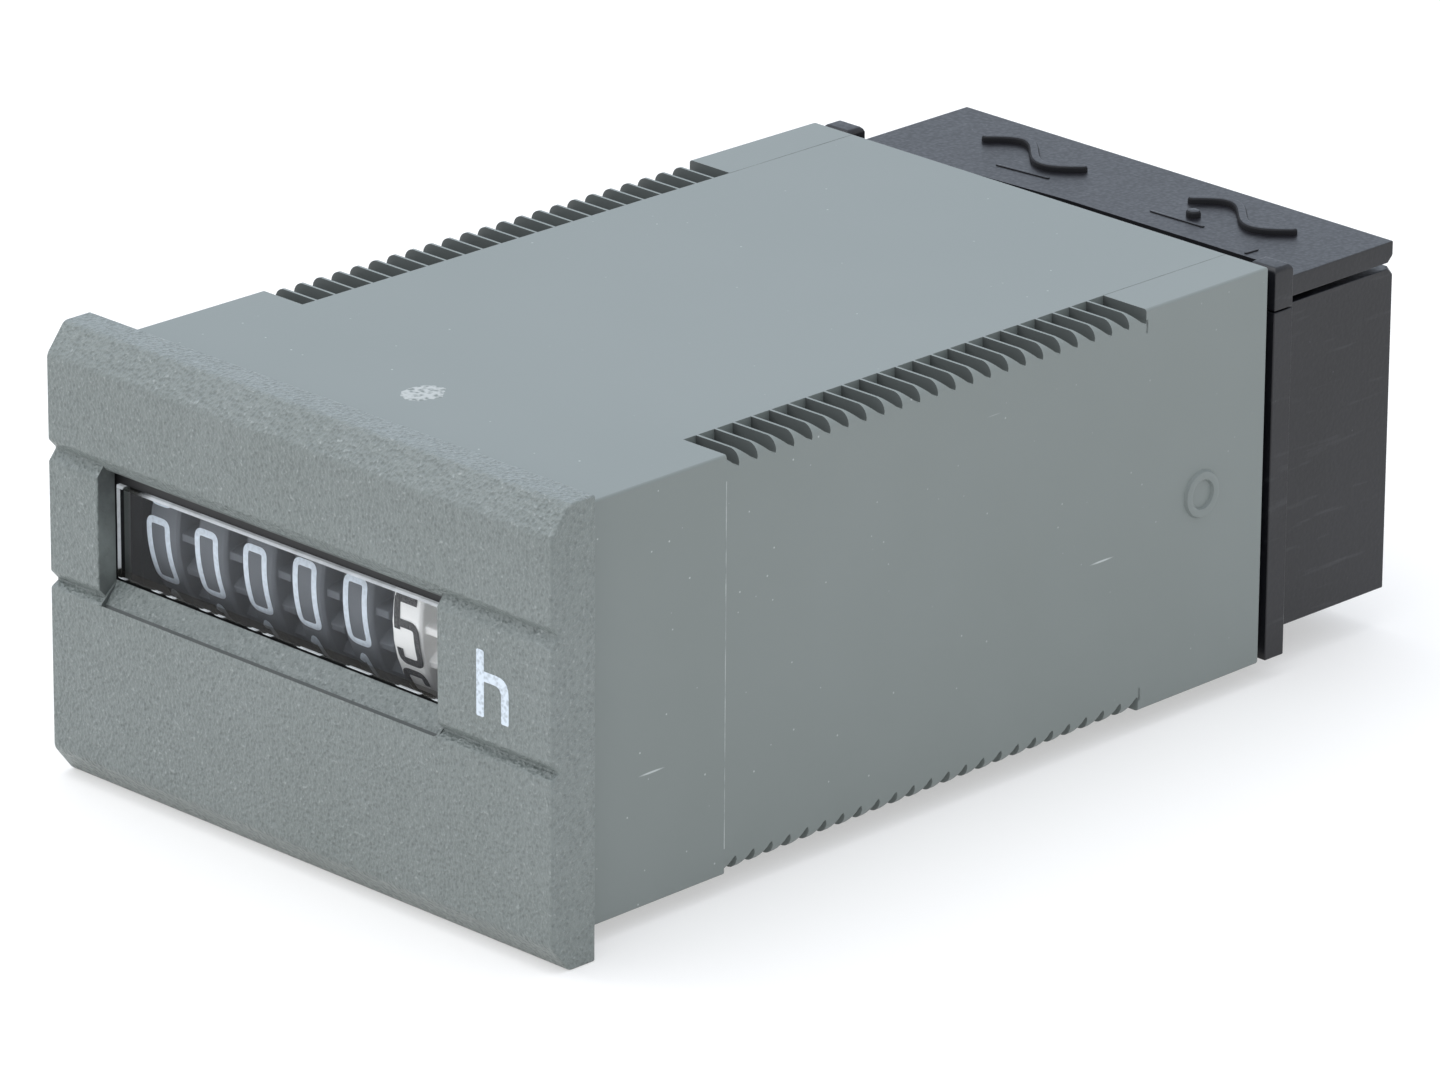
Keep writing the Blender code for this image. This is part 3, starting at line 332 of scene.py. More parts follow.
# Housing: finish
# The mould is spark-eroded over the bezel, which gives a fine even grain; its pits are painted darker as
# shade and sparse points painted lighter as glints. The mould is plain over the body, which is satin with a
# few scratches, dust and the mould's parting lines. The window's recess walls, a strip at the sill's foot and
# the steep faces of the slots are painted darker as shade.
GREY = (0.186, 0.210, 0.199, 1.0)
GREY_LIGHT = (0.206, 0.230, 0.221, 1.0)
SCUFF_AND_GLINT = (0.55, 0.58, 0.57, 1.0)
RECESS_SHADE, SLOT_SHADE = (0.085, 0.095, 0.092, 1.0), (0.078, 0.086, 0.083, 1.0)
GRAINED, SATIN, SHADED_WALLS, DEEPER_SHADE = range(4)
TOOTH_MARGIN = 0.1 * MM


def node(tree, kind, inputs=None, **settings):
    """Adds a shader node; an input takes a value, or another node's output to link."""
    made = tree.nodes.new("ShaderNode" + kind)
    for key, value in settings.items():
        setattr(made, key, value)
    for key, value in (inputs or {}).items():
        if isinstance(value, bpy.types.NodeSocket):
            tree.links.new(value, made.inputs[key])
        else:
            made.inputs[key].default_value = value
    return made


def object_place(tree):
    """A point's place on the object, in metres."""
    return node(tree, "TexCoord").outputs["Object"]


def maths(tree, operation, first, second=0.0):
    """One step of arithmetic on values."""
    return node(tree, "Math", {0: first, 1: second}, operation=operation).outputs[0]


def between(tree, value, low, high, out_low=0.0, out_high=1.0):
    """Spreads a value from one range over another, clamped."""
    inputs = {"Value": value, "From Min": low, "From Max": high, "To Min": out_low, "To Max": out_high}
    return node(tree, "MapRange", inputs).outputs["Result"]


def mixed(tree, factor, first, second):
    """A colour between two colours."""
    return node(tree, "Mix", {0: factor, 6: first, 7: second}, data_type="RGBA").outputs[2]


def new_effect(name, inputs, outputs):
    """A shader node group with named values in and named values out."""
    tree = bpy.data.node_groups.new(name, "ShaderNodeTree")
    for label, value in inputs.items():
        socket = tree.interface.new_socket(label, in_out="INPUT", socket_type="NodeSocketFloat")
        socket.default_value = value
    for label in outputs:
        tree.interface.new_socket(label, in_out="OUTPUT", socket_type="NodeSocketFloat")
    start, end = tree.nodes.new("NodeGroupInput"), tree.nodes.new("NodeGroupOutput")
    return tree, start.outputs, end.inputs, object_place(tree)


def placed(tree, group, inputs):
    """Places an effect's group in a material with its own values and returns its outputs."""
    return node(tree, "Group", inputs, node_tree=group).outputs


def new_surface(name, roughness=0.5, metallic=0.0):
    """A material with one Principled shader, its node tree and that shader."""
    made = bpy.data.materials.new(name)
    made.use_nodes = True
    shader = made.node_tree.nodes["Principled BSDF"]
    shader.inputs["Roughness"].default_value = roughness
    shader.inputs["Metallic"].default_value = metallic
    return made, made.node_tree, shader


def coloured(tree, shader, factor, first, second):
    """Mixes a shader's colour from two colours."""
    tree.links.new(mixed(tree, factor, first, second), shader.inputs["Base Color"])


def roughened(tree, shader, value, low, high, at_low, at_high):
    """Spreads a value over a range of roughness."""
    tree.links.new(between(tree, value, low, high, at_low, at_high), shader.inputs["Roughness"])


def bumped(tree, shader, height, strength, distance):
    """Gives a shader a relief."""
    bump = node(tree, "Bump", {"Height": height, "Strength": strength, "Distance": distance})
    tree.links.new(bump.outputs["Normal"], shader.inputs["Normal"])


def finished(name, shape, surfaces, body, replaced=(), smooth=math.radians(35.0)):
    """Turns a bmesh into a piece that rides on a body, with smooth rounds and flat faces."""
    bmesh.ops.recalc_face_normals(shape, faces=shape.faces)
    mesh = bpy.data.meshes.new(name)
    shape.to_mesh(mesh)
    shape.free()
    for surface in surfaces:
        mesh.materials.append(surface)
    mesh.shade_smooth()
    mesh.set_sharp_from_angle(angle=smooth)
    made = bpy.data.objects.new(name, mesh)
    bpy.context.scene.collection.objects.link(made)
    shading = made.modifiers.new("flat faces", "WEIGHTED_NORMAL")
    shading.keep_sharp = True
    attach(made, body)
    if replaced:
        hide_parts(*replaced)
    return made


# grain of a spark-eroded mould, as a height and as sparse points on which glints are painted
mould_grain, given, out, place = new_effect("mould_grain", {"Scale": 5200.0}, ["Height", "Painted Glints"])
fine = node(mould_grain, "TexNoise", {"Vector": place, "Scale": given["Scale"], "Detail": 1.5,
                                      "Roughness": 0.55})
cells = node(mould_grain, "TexVoronoi", {"Vector": place, "Scale": given["Scale"]}, feature="F1")
pits = between(mould_grain, cells.outputs["Distance"], 0.1, 0.7)
height = maths(mould_grain, "ADD", maths(mould_grain, "MULTIPLY", fine.outputs["Fac"], 0.7),
               maths(mould_grain, "MULTIPLY", pits, 0.3))
mould_grain.links.new(height, out["Height"])
mould_grain.links.new(between(mould_grain, fine.outputs["Fac"], 0.62, 0.78), out["Painted Glints"])

# slow change of tone over a moulding
tone, given, out, place = new_effect("moulding_tone", {"Scale": 90.0}, ["Tone"])
slow = node(tone, "TexNoise", {"Vector": place, "Scale": given["Scale"], "Detail": 3.0, "Roughness": 0.55})
tone.links.new(between(tone, slow.outputs["Fac"], 0.35, 0.65), out["Tone"])

# dust points and short hair scratches from handling
handling, given, out, place = new_effect("handling_marks", {"Dust": 1.0, "Scratches": 1.0}, ["Mask"])
dots = node(handling, "TexVoronoi", {"Vector": place, "Scale": 900.0, "Randomness": 1.0}, feature="F1")
chance = node(handling, "SeparateColor", {"Color": dots.outputs["Color"]})
kept = between(handling, chance.outputs[0], 0.45, 0.95)
dust = maths(handling, "MULTIPLY", between(handling, dots.outputs["Distance"], 0.06, 0.03), kept)
lines = []
for turn in (0.5, -0.8):
    spun = node(handling, "Mapping", {"Vector": place, "Rotation": (turn, turn * 0.7, turn),
                                      "Scale": (900.0, 60.0, 900.0)})
    thread = node(handling, "TexVoronoi", {"Vector": spun.outputs["Vector"], "Scale": 1.0}, feature="F1")
    chance = node(handling, "SeparateColor", {"Color": thread.outputs["Color"]})
    rare = between(handling, chance.outputs[1], 0.95, 0.97)
    hair = between(handling, thread.outputs["Distance"], 0.06, 0.03)
    lines.append(maths(handling, "MULTIPLY", hair, rare))
scratches = maths(handling, "MULTIPLY", maths(handling, "MAXIMUM", *lines), given["Scratches"])
dust = maths(handling, "MULTIPLY", dust, given["Dust"])
handling.links.new(maths(handling, "MAXIMUM", dust, scratches), out["Mask"])

grained_abs, tree, shader = new_surface("grained_grey_abs")
grain = placed(tree, mould_grain, {"Scale": 4500.0})
shade = placed(tree, tone, {"Scale": 70.0})["Tone"]
marks = placed(tree, handling, {"Dust": 0.6, "Scratches": 0.5})["Mask"]
colour = mixed(tree, shade, GREY, GREY_LIGHT)
# pits of the grain darkened toward the recess colour: painted shade in the hollows
pits = between(tree, grain["Height"], 0.5, 0.3, 0.0, 0.22)
colour = mixed(tree, pits, colour, RECESS_SHADE)
# sparse points of the grain lightened toward the pale scuff colour: painted glints
colour = mixed(tree, maths(tree, "MULTIPLY", grain["Painted Glints"], 0.3), colour, SCUFF_AND_GLINT)
coloured(tree, shader, maths(tree, "MULTIPLY", marks, 0.6), colour, SCUFF_AND_GLINT)
roughened(tree, shader, grain["Height"], 0.3, 0.7, 0.5, 0.3)
bumped(tree, shader, grain["Height"], strength=1.0, distance=0.18 * MM)

# the window's recess walls: colour painted darker as shade
recess_shade_abs, tree, shader = new_surface("recess_painted_shade_abs")
grain = placed(tree, mould_grain, {"Scale": 4000.0})
shade = placed(tree, tone, {"Scale": 300.0})["Tone"]
coloured(tree, shader, shade, RECESS_SHADE, GREY)
roughened(tree, shader, grain["Height"], 0.3, 0.7, 0.5, 0.7)
bumped(tree, shader, grain["Height"], strength=0.6, distance=0.08 * MM)

# steep faces of the slots and a strip at the sill's foot: colour painted darker as shade
slot_shade_abs, tree, shader = new_surface("slot_painted_shade_abs")
shade = placed(tree, tone, {"Scale": 400.0})["Tone"]
coloured(tree, shader, shade, SLOT_SHADE, RECESS_SHADE)
roughened(tree, shader, shade, 0.0, 1.0, 0.55, 0.7)

satin_abs, tree, shader = new_surface("satin_grey_abs")
grain = placed(tree, mould_grain, {"Scale": 9000.0})
shade = placed(tree, tone, {"Scale": 45.0})["Tone"]
marks = placed(tree, handling, {"Dust": 1.0, "Scratches": 1.0})["Mask"]
colour = mixed(tree, shade, GREY, GREY_LIGHT)
coloured(tree, shader, maths(tree, "MULTIPLY", marks, 0.8), colour, SCUFF_AND_GLINT)
roughened(tree, shader, shade, 0.0, 1.0, 0.42, 0.5)
bumped(tree, shader, grain["Height"], strength=0.12, distance=0.02 * MM)

housing.normal_update()
for face in housing.faces:
    middle = face.calc_center_median()
    in_width = WINDOW_LEFT - TINY < middle.x < WINDOW_RIGHT + TINY
    in_window = in_width and SILL_FOOT[1] < middle.z < WINDOW_HIGH + TINY
    on_wall = bezel_front + TINY < middle.y < SHOULDER - TINY and face.normal.z < 0.5
    in_line = SILL_FOOT[0] < middle.y - bezel_front < SILL_START[0]
    in_notch = abs(middle.x) > NOTCH_X and abs(middle.z) > NOTCH_Z
    # the window's recess walls take the painted-shade finish
    if in_window and on_wall and middle.z > SILL_START[1]:
        face.material_index = SHADED_WALLS
    # a thin strip at the sill's foot painted dark as the shade line under the lip
    elif in_window and in_line and middle.z < SILL_START[1]:
        face.material_index = DEEPER_SHADE
    elif in_notch and COLLAR_END < middle.y < TOOTH_END + TOOTH_MARGIN:
        # front-facing steep faces of the upper slots painted dark as shade
        face.material_index = DEEPER_SHADE if face.normal.y < -0.7 and middle.z > 0 else SATIN
    else:
        face.material_index = GRAINED if middle.y < TINY else SATIN
sorted_parts(housing)
finished("bezel_and_body", housing, [grained_abs, satin_abs, recess_shade_abs, slot_shade_abs], "meter_body",
         ["housing"])


# Housing: marks of the mould
# A raised ring from a core pin on the right side, the torn-off gate on top behind the bezel, and hairlines of
# flash where the mould's slides met at the collar and behind the teeth. The flash at the collar is painted
# pale as a highlight; the flash behind the teeth takes the darker recess finish.
RING_Y, RING_Z, RING_RADIUS, RING_STROKE, RING_RISE = 44.8 * MM, -0.2 * MM, 1.0 * MM, 0.66 * MM, 0.2 * MM
GATE_X, GATE_Y, GATE_RADIUS, GATE_RISE = 0.1 * MM, 5.6 * MM, 1.45 * MM, 0.04 * MM
RING_ARCH, RING_STEPS = ((-0.5, -0.4), (-0.3, 0.8), (0.0, 1.0), (0.3, 0.8), (0.5, -0.4)), 48
GATE_RINGS, GATE_CORNERS, GATE_SQUASH = (0.3, 0.3, 0.25), 28, 0.83
TEAR_SCALE, TEAR_REACH, TEAR_PLACE = 3.0, 0.22, Vector((4.1, 0.0, 0.0))
FLASH_WIDTH, FLASH_RISE = 0.032 * MM, 0.012 * MM
SEAM_HIGHLIGHT, SEAM_DARK = 1, 2
GATE_PALE = (0.42, 0.44, 0.43, 1.0)


def ridge(shape, start, end, across, rise):
    """A thin raised line with a three-cornered section."""
    foot = [shape.verts.new(start + across), shape.verts.new(start + rise), shape.verts.new(start - across)]
    pushed(shape, [shape.faces.new(foot)], end - start)


marks = bmesh.new()
ring_x = body_side(RING_Y)
arch = []
for reach, rise in RING_ARCH:
    ring_z = RING_Z + RING_RADIUS + reach * RING_STROKE
    arch.append(marks.verts.new((ring_x + rise * RING_RISE, RING_Y, ring_z)))
arch_edges = [marks.edges.new(pair) for pair in zip(arch, arch[1:])]
bmesh.ops.spin(marks, geom=arch + arch_edges, cent=(ring_x, RING_Y, RING_Z), axis=(1.0, 0.0, 0.0),
               angle=math.tau, steps=RING_STEPS, use_merge=True)
bmesh.ops.remove_doubles(marks, verts=marks.verts, dist=TINY)
ring_faces = set(marks.faces)
for side in (-1, 1):
    x = side * body_side(COLLAR_END)
    ridge(marks, Vector((x, COLLAR_END, -NOTCH_Z)), Vector((x, COLLAR_END, NOTCH_Z)),
          Vector((0.0, FLASH_WIDTH, 0.0)), Vector((side * FLASH_RISE, 0.0, 0.0)))
    for up in (-1, 1):
        start = Vector((side * NOTCH_X, TOOTH_END, up * body_top(TOOTH_END)))
        end = Vector((side * NOTCH_X, body_end - BODY_EDGE, up * body_top(body_end)))
        ridge(marks, start, end, Vector((FLASH_WIDTH, 0.0, 0.0)), Vector((0.0, 0.0, up * FLASH_RISE)))
# the collar's flash takes the painted highlight, the flash behind the teeth the darker recess finish
for face in marks.faces:
    if face not in ring_faces:
        face.material_index = SEAM_HIGHLIGHT if face.calc_center_median().y < TOOTH_END else SEAM_DARK
# pale colour painted on the collar's flash line as a highlight
flash_highlight_abs, tree, shader = new_surface("flash_painted_highlight_abs", 0.4)
thin = placed(tree, tone, {"Scale": 900.0})["Tone"]
coloured(tree, shader, thin, GREY_LIGHT, GATE_PALE)
finished("mould_marks", marks, [satin_abs, flash_highlight_abs, recess_shade_abs], "meter_body")

gate = bmesh.new()
bmesh.ops.create_circle(gate, cap_ends=True, segments=GATE_CORNERS, radius=GATE_RADIUS)
rings = list(gate.faces)
for share in GATE_RINGS:
    bmesh.ops.inset_region(gate, faces=rings, thickness=share * GATE_RADIUS, use_boundary=True)
for corner in gate.verts:
    reach = corner.co.length / GATE_RADIUS
    spot = corner.co / GATE_RADIUS * TEAR_SCALE
    ragged = noise.noise(spot + TEAR_PLACE)
    corner.co.z = GATE_RISE * ((1.0 - reach) * 0.8 + 0.5 * ragged * (1.0 - reach) - 0.3 * (reach > 0.9))
    corner.co.xy *= 1.0 + TEAR_REACH * ragged
    corner.co.x *= GATE_SQUASH
bmesh.ops.translate(gate, verts=gate.verts, vec=(GATE_X, GATE_Y, body_top(GATE_Y)))
torn_abs, tree, shader = new_surface("torn_grey_abs", 0.6)
crumb = placed(tree, mould_grain, {"Scale": 3600.0})
pale = between(tree, crumb["Height"], 0.38, 0.62)
coloured(tree, shader, pale, GREY, GATE_PALE)
bumped(tree, shader, crumb["Height"], strength=0.8, distance=0.06 * MM)
finished("gate_mark", gate, [torn_abs], "meter_body")


# Lens
# A clear acrylic pane pressed in behind the bezel. A glowing highlight is painted on the bevelled edge of its
# front as a thin bright line, in dashes that follow the drums along the bottom; a dark film is painted on the
# strip above that line as shade.
PANE_LEFT, PANE_RIGHT = -14.2 * MM, 9.95 * MM
PANE_LOW, PANE_HIGH, PANE_SLOPE = -0.66 * MM, 4.4 * MM, 0.1 * MM
PANE_FRONT, PANE_BEVEL = -1.88 * MM, 0.11 * MM
DASH_PITCH, DASH_PLACE, DASH_REACH, DASH_GAP = 3.53 * MM, -10.83 * MM, 0.86 * MM, 0.33 * MM
DASH_LAST, DASH_LAST_FADE, DASH_FADE = 8.5 * MM, 0.1 * MM, 0.12 * MM
SPLIT_END, SPLIT_WHOLE = -1.0 * MM, -2.5 * MM
LOWER_END, LOWER_WHOLE = PANE_LOW + 0.5 * MM, PANE_LOW + 0.4 * MM
STUB_END, STUB_WHOLE = PANE_LEFT + 0.6 * MM, PANE_LEFT + 0.5 * MM
LINE_START, LINE_WHOLE = PANE_LEFT + 1.6 * MM, PANE_LEFT + 2.6 * MM
SHADE_HEIGHT, SHADE_DENSITY, SHADE_THIN = 0.58 * MM, 0.45, 0.15
ACRYLIC_IOR, SHEEN, BACK_SHEEN = 1.49, 0.45, 0.008
ACRYLIC, UPPER_LIT = (0.95, 0.97, 1.0, 1.0), (0.7, 0.7, 0.7, 1.0)
EDGE_DARK, EDGE_LIT = (0.02, 0.022, 0.018, 1.0), (0.85, 0.88, 0.9, 1.0)
GLOW_NONE, GLOW_LIT, GLOW_STRENGTH = (0.0, 0.0, 0.0, 1.0), (0.9, 0.95, 1.0, 1.0), 0.3
FLANGE_BLACK, FLANGE_GREY = (0.006, 0.006, 0.007, 1.0), (0.014, 0.014, 0.015, 1.0)
SHADE_BLACK, SHADE_BROWN = (0.010, 0.010, 0.009, 1.0), (0.030, 0.026, 0.018, 1.0)
PANE, EDGE, FLANGE, SHADE = range(4)

lens_low, lens_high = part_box("lens")
lens = bmesh.new()
bmesh.ops.create_cube(lens, size=1.0)
bmesh.ops.scale(lens, vec=lens_high - lens_low, verts=lens.verts)
bmesh.ops.translate(lens, vec=(lens_high + lens_low) / 2, verts=lens.verts)
face = min(lens.faces, key=lambda one: one.calc_center_median().y)
inner_low = (PANE_LEFT + PANE_BEVEL, PANE_LOW + PANE_BEVEL)
inner_high = (PANE_RIGHT - PANE_BEVEL, PANE_HIGH - PANE_BEVEL)
for y in (lens_low.y, PANE_FRONT + PANE_BEVEL):
    face = stepped(lens, face, y, (PANE_LEFT, PANE_LOW), (PANE_RIGHT, PANE_HIGH))
face = stepped(lens, face, PANE_FRONT, inner_low, inner_high)
sliced(lens, [face, *face.edges, *face.verts], (0.0, PANE_FRONT, PANE_LOW + SHADE_HEIGHT), (0.0, 0.0, 1.0))
for corner in lens.verts:
    if corner.co.x < 0 < corner.co.z < PANE_HIGH + TINY:
        corner.co.z -= PANE_SLOPE
lens.normal_update()
for one in lens.faces:
    middle = one.calc_center_median()
    on_flange = close(middle.y, lens_low.y) or abs(one.normal.y) < 0.5 and middle.y > lens_low.y
    in_window = PANE_FRONT + TINY < middle.y < lens_low.y - TINY
    in_shade = close(middle.y, PANE_FRONT) and middle.z < PANE_LOW + SHADE_HEIGHT
    one.material_index = FLANGE if on_flange else EDGE if in_window else SHADE if in_shade else PANE

clear_acrylic, tree, shader = new_surface("clear_acrylic", metallic=1.0)
shader.inputs["Base Color"].default_value = ACRYLIC
film = node(tree, "TexNoise", {"Vector": object_place(tree), "Scale": 300.0, "Detail": 3.0})
roughened(tree, shader, film.outputs["Fac"], 0.35, 0.7, 0.02, 0.09)
front = maths(tree, "SUBTRACT", 1.0, node(tree, "NewGeometry").outputs["Backfacing"])
sheen = maths(tree, "MULTIPLY", node(tree, "Fresnel", {"IOR": ACRYLIC_IOR}).outputs["Fac"], front)
sheen = maths(tree, "MULTIPLY", sheen, SHEEN)
tree.links.new(maths(tree, "MAXIMUM", sheen, BACK_SHEEN), shader.inputs["Alpha"])

# the bright line on the pane's edge is a painted glow and highlight: emission and a light colour in dashes
painted_glow_acrylic, tree, shader = new_surface("painted_glow_acrylic_edge", 0.2)
shader.inputs["Emission Strength"].default_value = GLOW_STRENGTH
across = node(tree, "SeparateXYZ", {"Vector": object_place(tree)}).outputs
shifted = maths(tree, "SUBTRACT", across["X"], DASH_PLACE - DASH_PITCH / 2)
turned = maths(tree, "MODULO", maths(tree, "ADD", shifted, 10 * DASH_PITCH), DASH_PITCH)
away = maths(tree, "ABSOLUTE", maths(tree, "SUBTRACT", turned, DASH_PITCH / 2))
dash = between(tree, away, DASH_REACH, DASH_REACH - DASH_FADE)
split = maths(tree, "MULTIPLY", between(tree, away, DASH_GAP, DASH_GAP - DASH_FADE),
              between(tree, across["X"], SPLIT_END, SPLIT_WHOLE))
dash = maths(tree, "SUBTRACT", dash, split)
dash = maths(tree, "MAXIMUM", dash, between(tree, across["X"], DASH_LAST, DASH_LAST + DASH_LAST_FADE))
lower = between(tree, across["Z"], LOWER_END, LOWER_WHOLE)
# noise that breaks up the painted glow
glow_breakup = node(tree, "TexNoise", {"Vector": object_place(tree), "Scale": 900.0, "Detail": 2.0})
begun = between(tree, across["X"], LINE_START, LINE_WHOLE)
begun = maths(tree, "MAXIMUM", begun, between(tree, across["X"], STUB_END, STUB_WHOLE))
whole = maths(tree, "MULTIPLY", between(tree, glow_breakup.outputs["Fac"], 0.25, 0.5, 0.75, 1.0), begun)
lit = maths(tree, "MULTIPLY", mixed(tree, lower, UPPER_LIT, dash), whole)
coloured(tree, shader, lit, EDGE_DARK, EDGE_LIT)
tree.links.new(mixed(tree, lit, GLOW_NONE, GLOW_LIT), shader.inputs["Emission Color"])
tree.links.new(between(tree, lit, 0.0, 1.0, 0.5, 0.95), shader.inputs["Alpha"])

dark_acrylic, tree, shader = new_surface("dark_lens_flange", 0.5)
shade = placed(tree, tone, {"Scale": 200.0})["Tone"]
coloured(tree, shader, shade, FLANGE_BLACK, FLANGE_GREY)

# a dark, partly clear film on the pane's lower strip: painted shade
shaded_acrylic, tree, shader = new_surface("shaded_acrylic", 0.15)
shade = placed(tree, tone, {"Scale": 350.0})["Tone"]
coloured(tree, shader, shade, SHADE_BLACK, SHADE_BROWN)
thinned = between(tree, shade, 0.0, 1.0, SHADE_DENSITY, SHADE_DENSITY - SHADE_THIN)
tree.links.new(thinned, shader.inputs["Alpha"])
finished("lens_pane", lens, [clear_acrylic, painted_glow_acrylic, dark_acrylic, shaded_acrylic], "meter_body",
         ["lens"])


# Unit sign
# The sign for hours on the plain band to the right of the window, pad-printed in white ink on the grained
# ABS. The ink is thin and breaks up a little over the grain.
SIGN_LEFT, SIGN_RIGHT, SIGN_LOW, SIGN_HIGH = 12.83 * MM, 15.06 * MM, 0.13 * MM, 3.57 * MM
SIGN_STROKE, INK_RISE = 0.52 * MM, 0.012 * MM
SIGN_SHOULDER, SIGN_BEND = 2.25 * MM, 0.75 * MM
SIGN_CORNER, SIGN_CORNER_ANGLE = 0.09 * MM, math.radians(100.0)
INK_WHITE, INK_THIN = (0.70, 0.77, 0.84, 1.0), (0.45, 0.50, 0.54, 1.0)

inner_left, inner_right = SIGN_LEFT + SIGN_STROKE, SIGN_RIGHT - SIGN_STROKE
over, under = SIGN_SHOULDER + SIGN_STROKE / 2, SIGN_SHOULDER - SIGN_STROKE / 2
rim = [(inner_left, SIGN_LOW), (SIGN_LEFT, SIGN_LOW), (SIGN_LEFT, SIGN_HIGH), (inner_left, SIGN_HIGH)]
rim += rounded_path([(inner_left, over), (SIGN_RIGHT, over), (SIGN_RIGHT, SIGN_LOW)],
                    SIGN_BEND + SIGN_STROKE / 2)
rim += rounded_path([(inner_right, SIGN_LOW), (inner_right, under), (inner_left, under)],
                    SIGN_BEND - SIGN_STROKE / 2)
sign = bmesh.new()
face = sign.faces.new([sign.verts.new((x, bezel_front, z)) for x, z in rim])
face.normal_update()
square = [loop.vert for loop in face.loops if loop.is_convex and loop.calc_angle() < SIGN_CORNER_ANGLE]
bmesh.ops.bevel(sign, geom=square, offset=SIGN_CORNER, segments=2, profile=0.5, affect="VERTICES",
                material=-1)
pushed(sign, list(sign.faces), (0.0, -INK_RISE, 0.0))

broken_ink, tree, shader = new_surface("broken_white_ink", 0.5)
grain = placed(tree, mould_grain, {"Scale": 4500.0})
thin = between(tree, grain["Height"], 0.62, 0.36, 0.0, 0.9)
coloured(tree, shader, thin, INK_WHITE, INK_THIN)
bumped(tree, shader, grain["Height"], strength=0.3, distance=0.04 * MM)
finished("unit_sign", sign, [broken_ink], "meter_body")


# Counter frame
# Two stamped and blackened steel cheeks hold the drums and gears; bright turned shafts and tie bars join
# them. The cheeks' front edges show through the window as black strips.
BLACKENED, BLACKENED_LIGHT = (0.012, 0.012, 0.013, 1.0), (0.03, 0.03, 0.032, 1.0)
BRIGHT, BRIGHT_DULL = (0.62, 0.63, 0.64, 1.0), (0.44, 0.45, 0.47, 1.0)


def coat(surface, *names):
    """Gives a surface to CAD nodes that are kept as they are."""
    for name in names:
        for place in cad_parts[name].material_slots:
            place.material = surface


# fine lines left by rolling, drawing or turning, along or across a direction
tool_lines, given, out, place = new_effect("tool_lines", {"Along": 60.0, "Across": 4000.0},
                                           ["Lines", "Rings"])
stretch = node(tool_lines, "CombineXYZ", {"X": given["Along"], "Y": given["Across"], "Z": given["Across"]})
pulled = node(tool_lines, "VectorMath", {0: place, 1: stretch.outputs["Vector"]}, operation="MULTIPLY")
hair = node(tool_lines, "TexNoise", {"Vector": pulled.outputs["Vector"], "Scale": 1.0, "Detail": 3.0})
tool_lines.links.new(between(tool_lines, hair.outputs["Fac"], 0.3, 0.7), out["Lines"])
turned = node(tool_lines, "CombineXYZ", {"X": given["Across"], "Y": given["Along"], "Z": given["Along"]})
wound = node(tool_lines, "VectorMath", {0: place, 1: turned.outputs["Vector"]}, operation="MULTIPLY")
rings = node(tool_lines, "TexNoise", {"Vector": wound.outputs["Vector"], "Scale": 1.0, "Detail": 2.0})
tool_lines.links.new(between(tool_lines, rings.outputs["Fac"], 0.3, 0.7), out["Rings"])

blackened_steel, tree, shader = new_surface("blackened_steel", metallic=0.6)
rolled = placed(tree, tool_lines, {"Along": 900.0, "Across": 2500.0})
coloured(tree, shader, rolled["Lines"], BLACKENED, BLACKENED_LIGHT)
roughened(tree, shader, rolled["Lines"], 0.0, 1.0, 0.4, 0.6)
bumped(tree, shader, rolled["Lines"], strength=0.2, distance=0.01 * MM)
coat(blackened_steel, "cheek_left", "cheek_right", "idler_post")

turned_steel, tree, shader = new_surface("turned_steel", metallic=1.0)
lathe = placed(tree, tool_lines, {"Along": 40.0, "Across": 6000.0})
coloured(tree, shader, lathe["Rings"], BRIGHT, BRIGHT_DULL)
roughened(tree, shader, lathe["Rings"], 0.0, 1.0, 0.22, 0.4)
bumped(tree, shader, lathe["Rings"], strength=0.15, distance=0.006 * MM)
coat(turned_steel, "drum_shaft", "pinion_shaft", "tie_bar_upper", "tie_bar_lower",
     "motor_post_upper", "motor_post_lower")


# Number drums
# Five black drums and a white one for tenths, moulded with a carry disc on the left and a gear ring on the
# right. They turn freely on the shaft and are spaced by a sleeve.
DRUM_BLACK, DRUM_WORN = (0.105, 0.115, 0.128, 1.0), (0.125, 0.136, 0.150, 1.0)
IVORY, IVORY_DEEP = (0.93, 0.93, 0.91, 1.0), (0.88, 0.87, 0.84, 1.0)
BLACK_DRUMS, DRUM_EDGE = 5, 0.05 * MM


def copied(name):
    """A merged copy of a CAD node's mesh, without the shading that it was loaded with."""
    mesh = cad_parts[name].data.copy()
    loaded = mesh.attributes.get("custom_normal")
    if loaded:
        mesh.attributes.remove(loaded)
    shape = bmesh.new()
    shape.from_mesh(mesh)
    bpy.data.meshes.remove(mesh)
    welded(shape)
    return shape


def softened(made, width, segments=2, angle=40.0):
    """Rounds a piece's sharp edges over, before its shading is set."""
    edge = made.modifiers.new("soft edges", "BEVEL")
    edge.width, edge.segments = width, segments
    edge.limit_method, edge.angle_limit = "ANGLE", math.radians(angle)
    edge.use_clamp_overlap = True
    made.modifiers.move(1, 0)


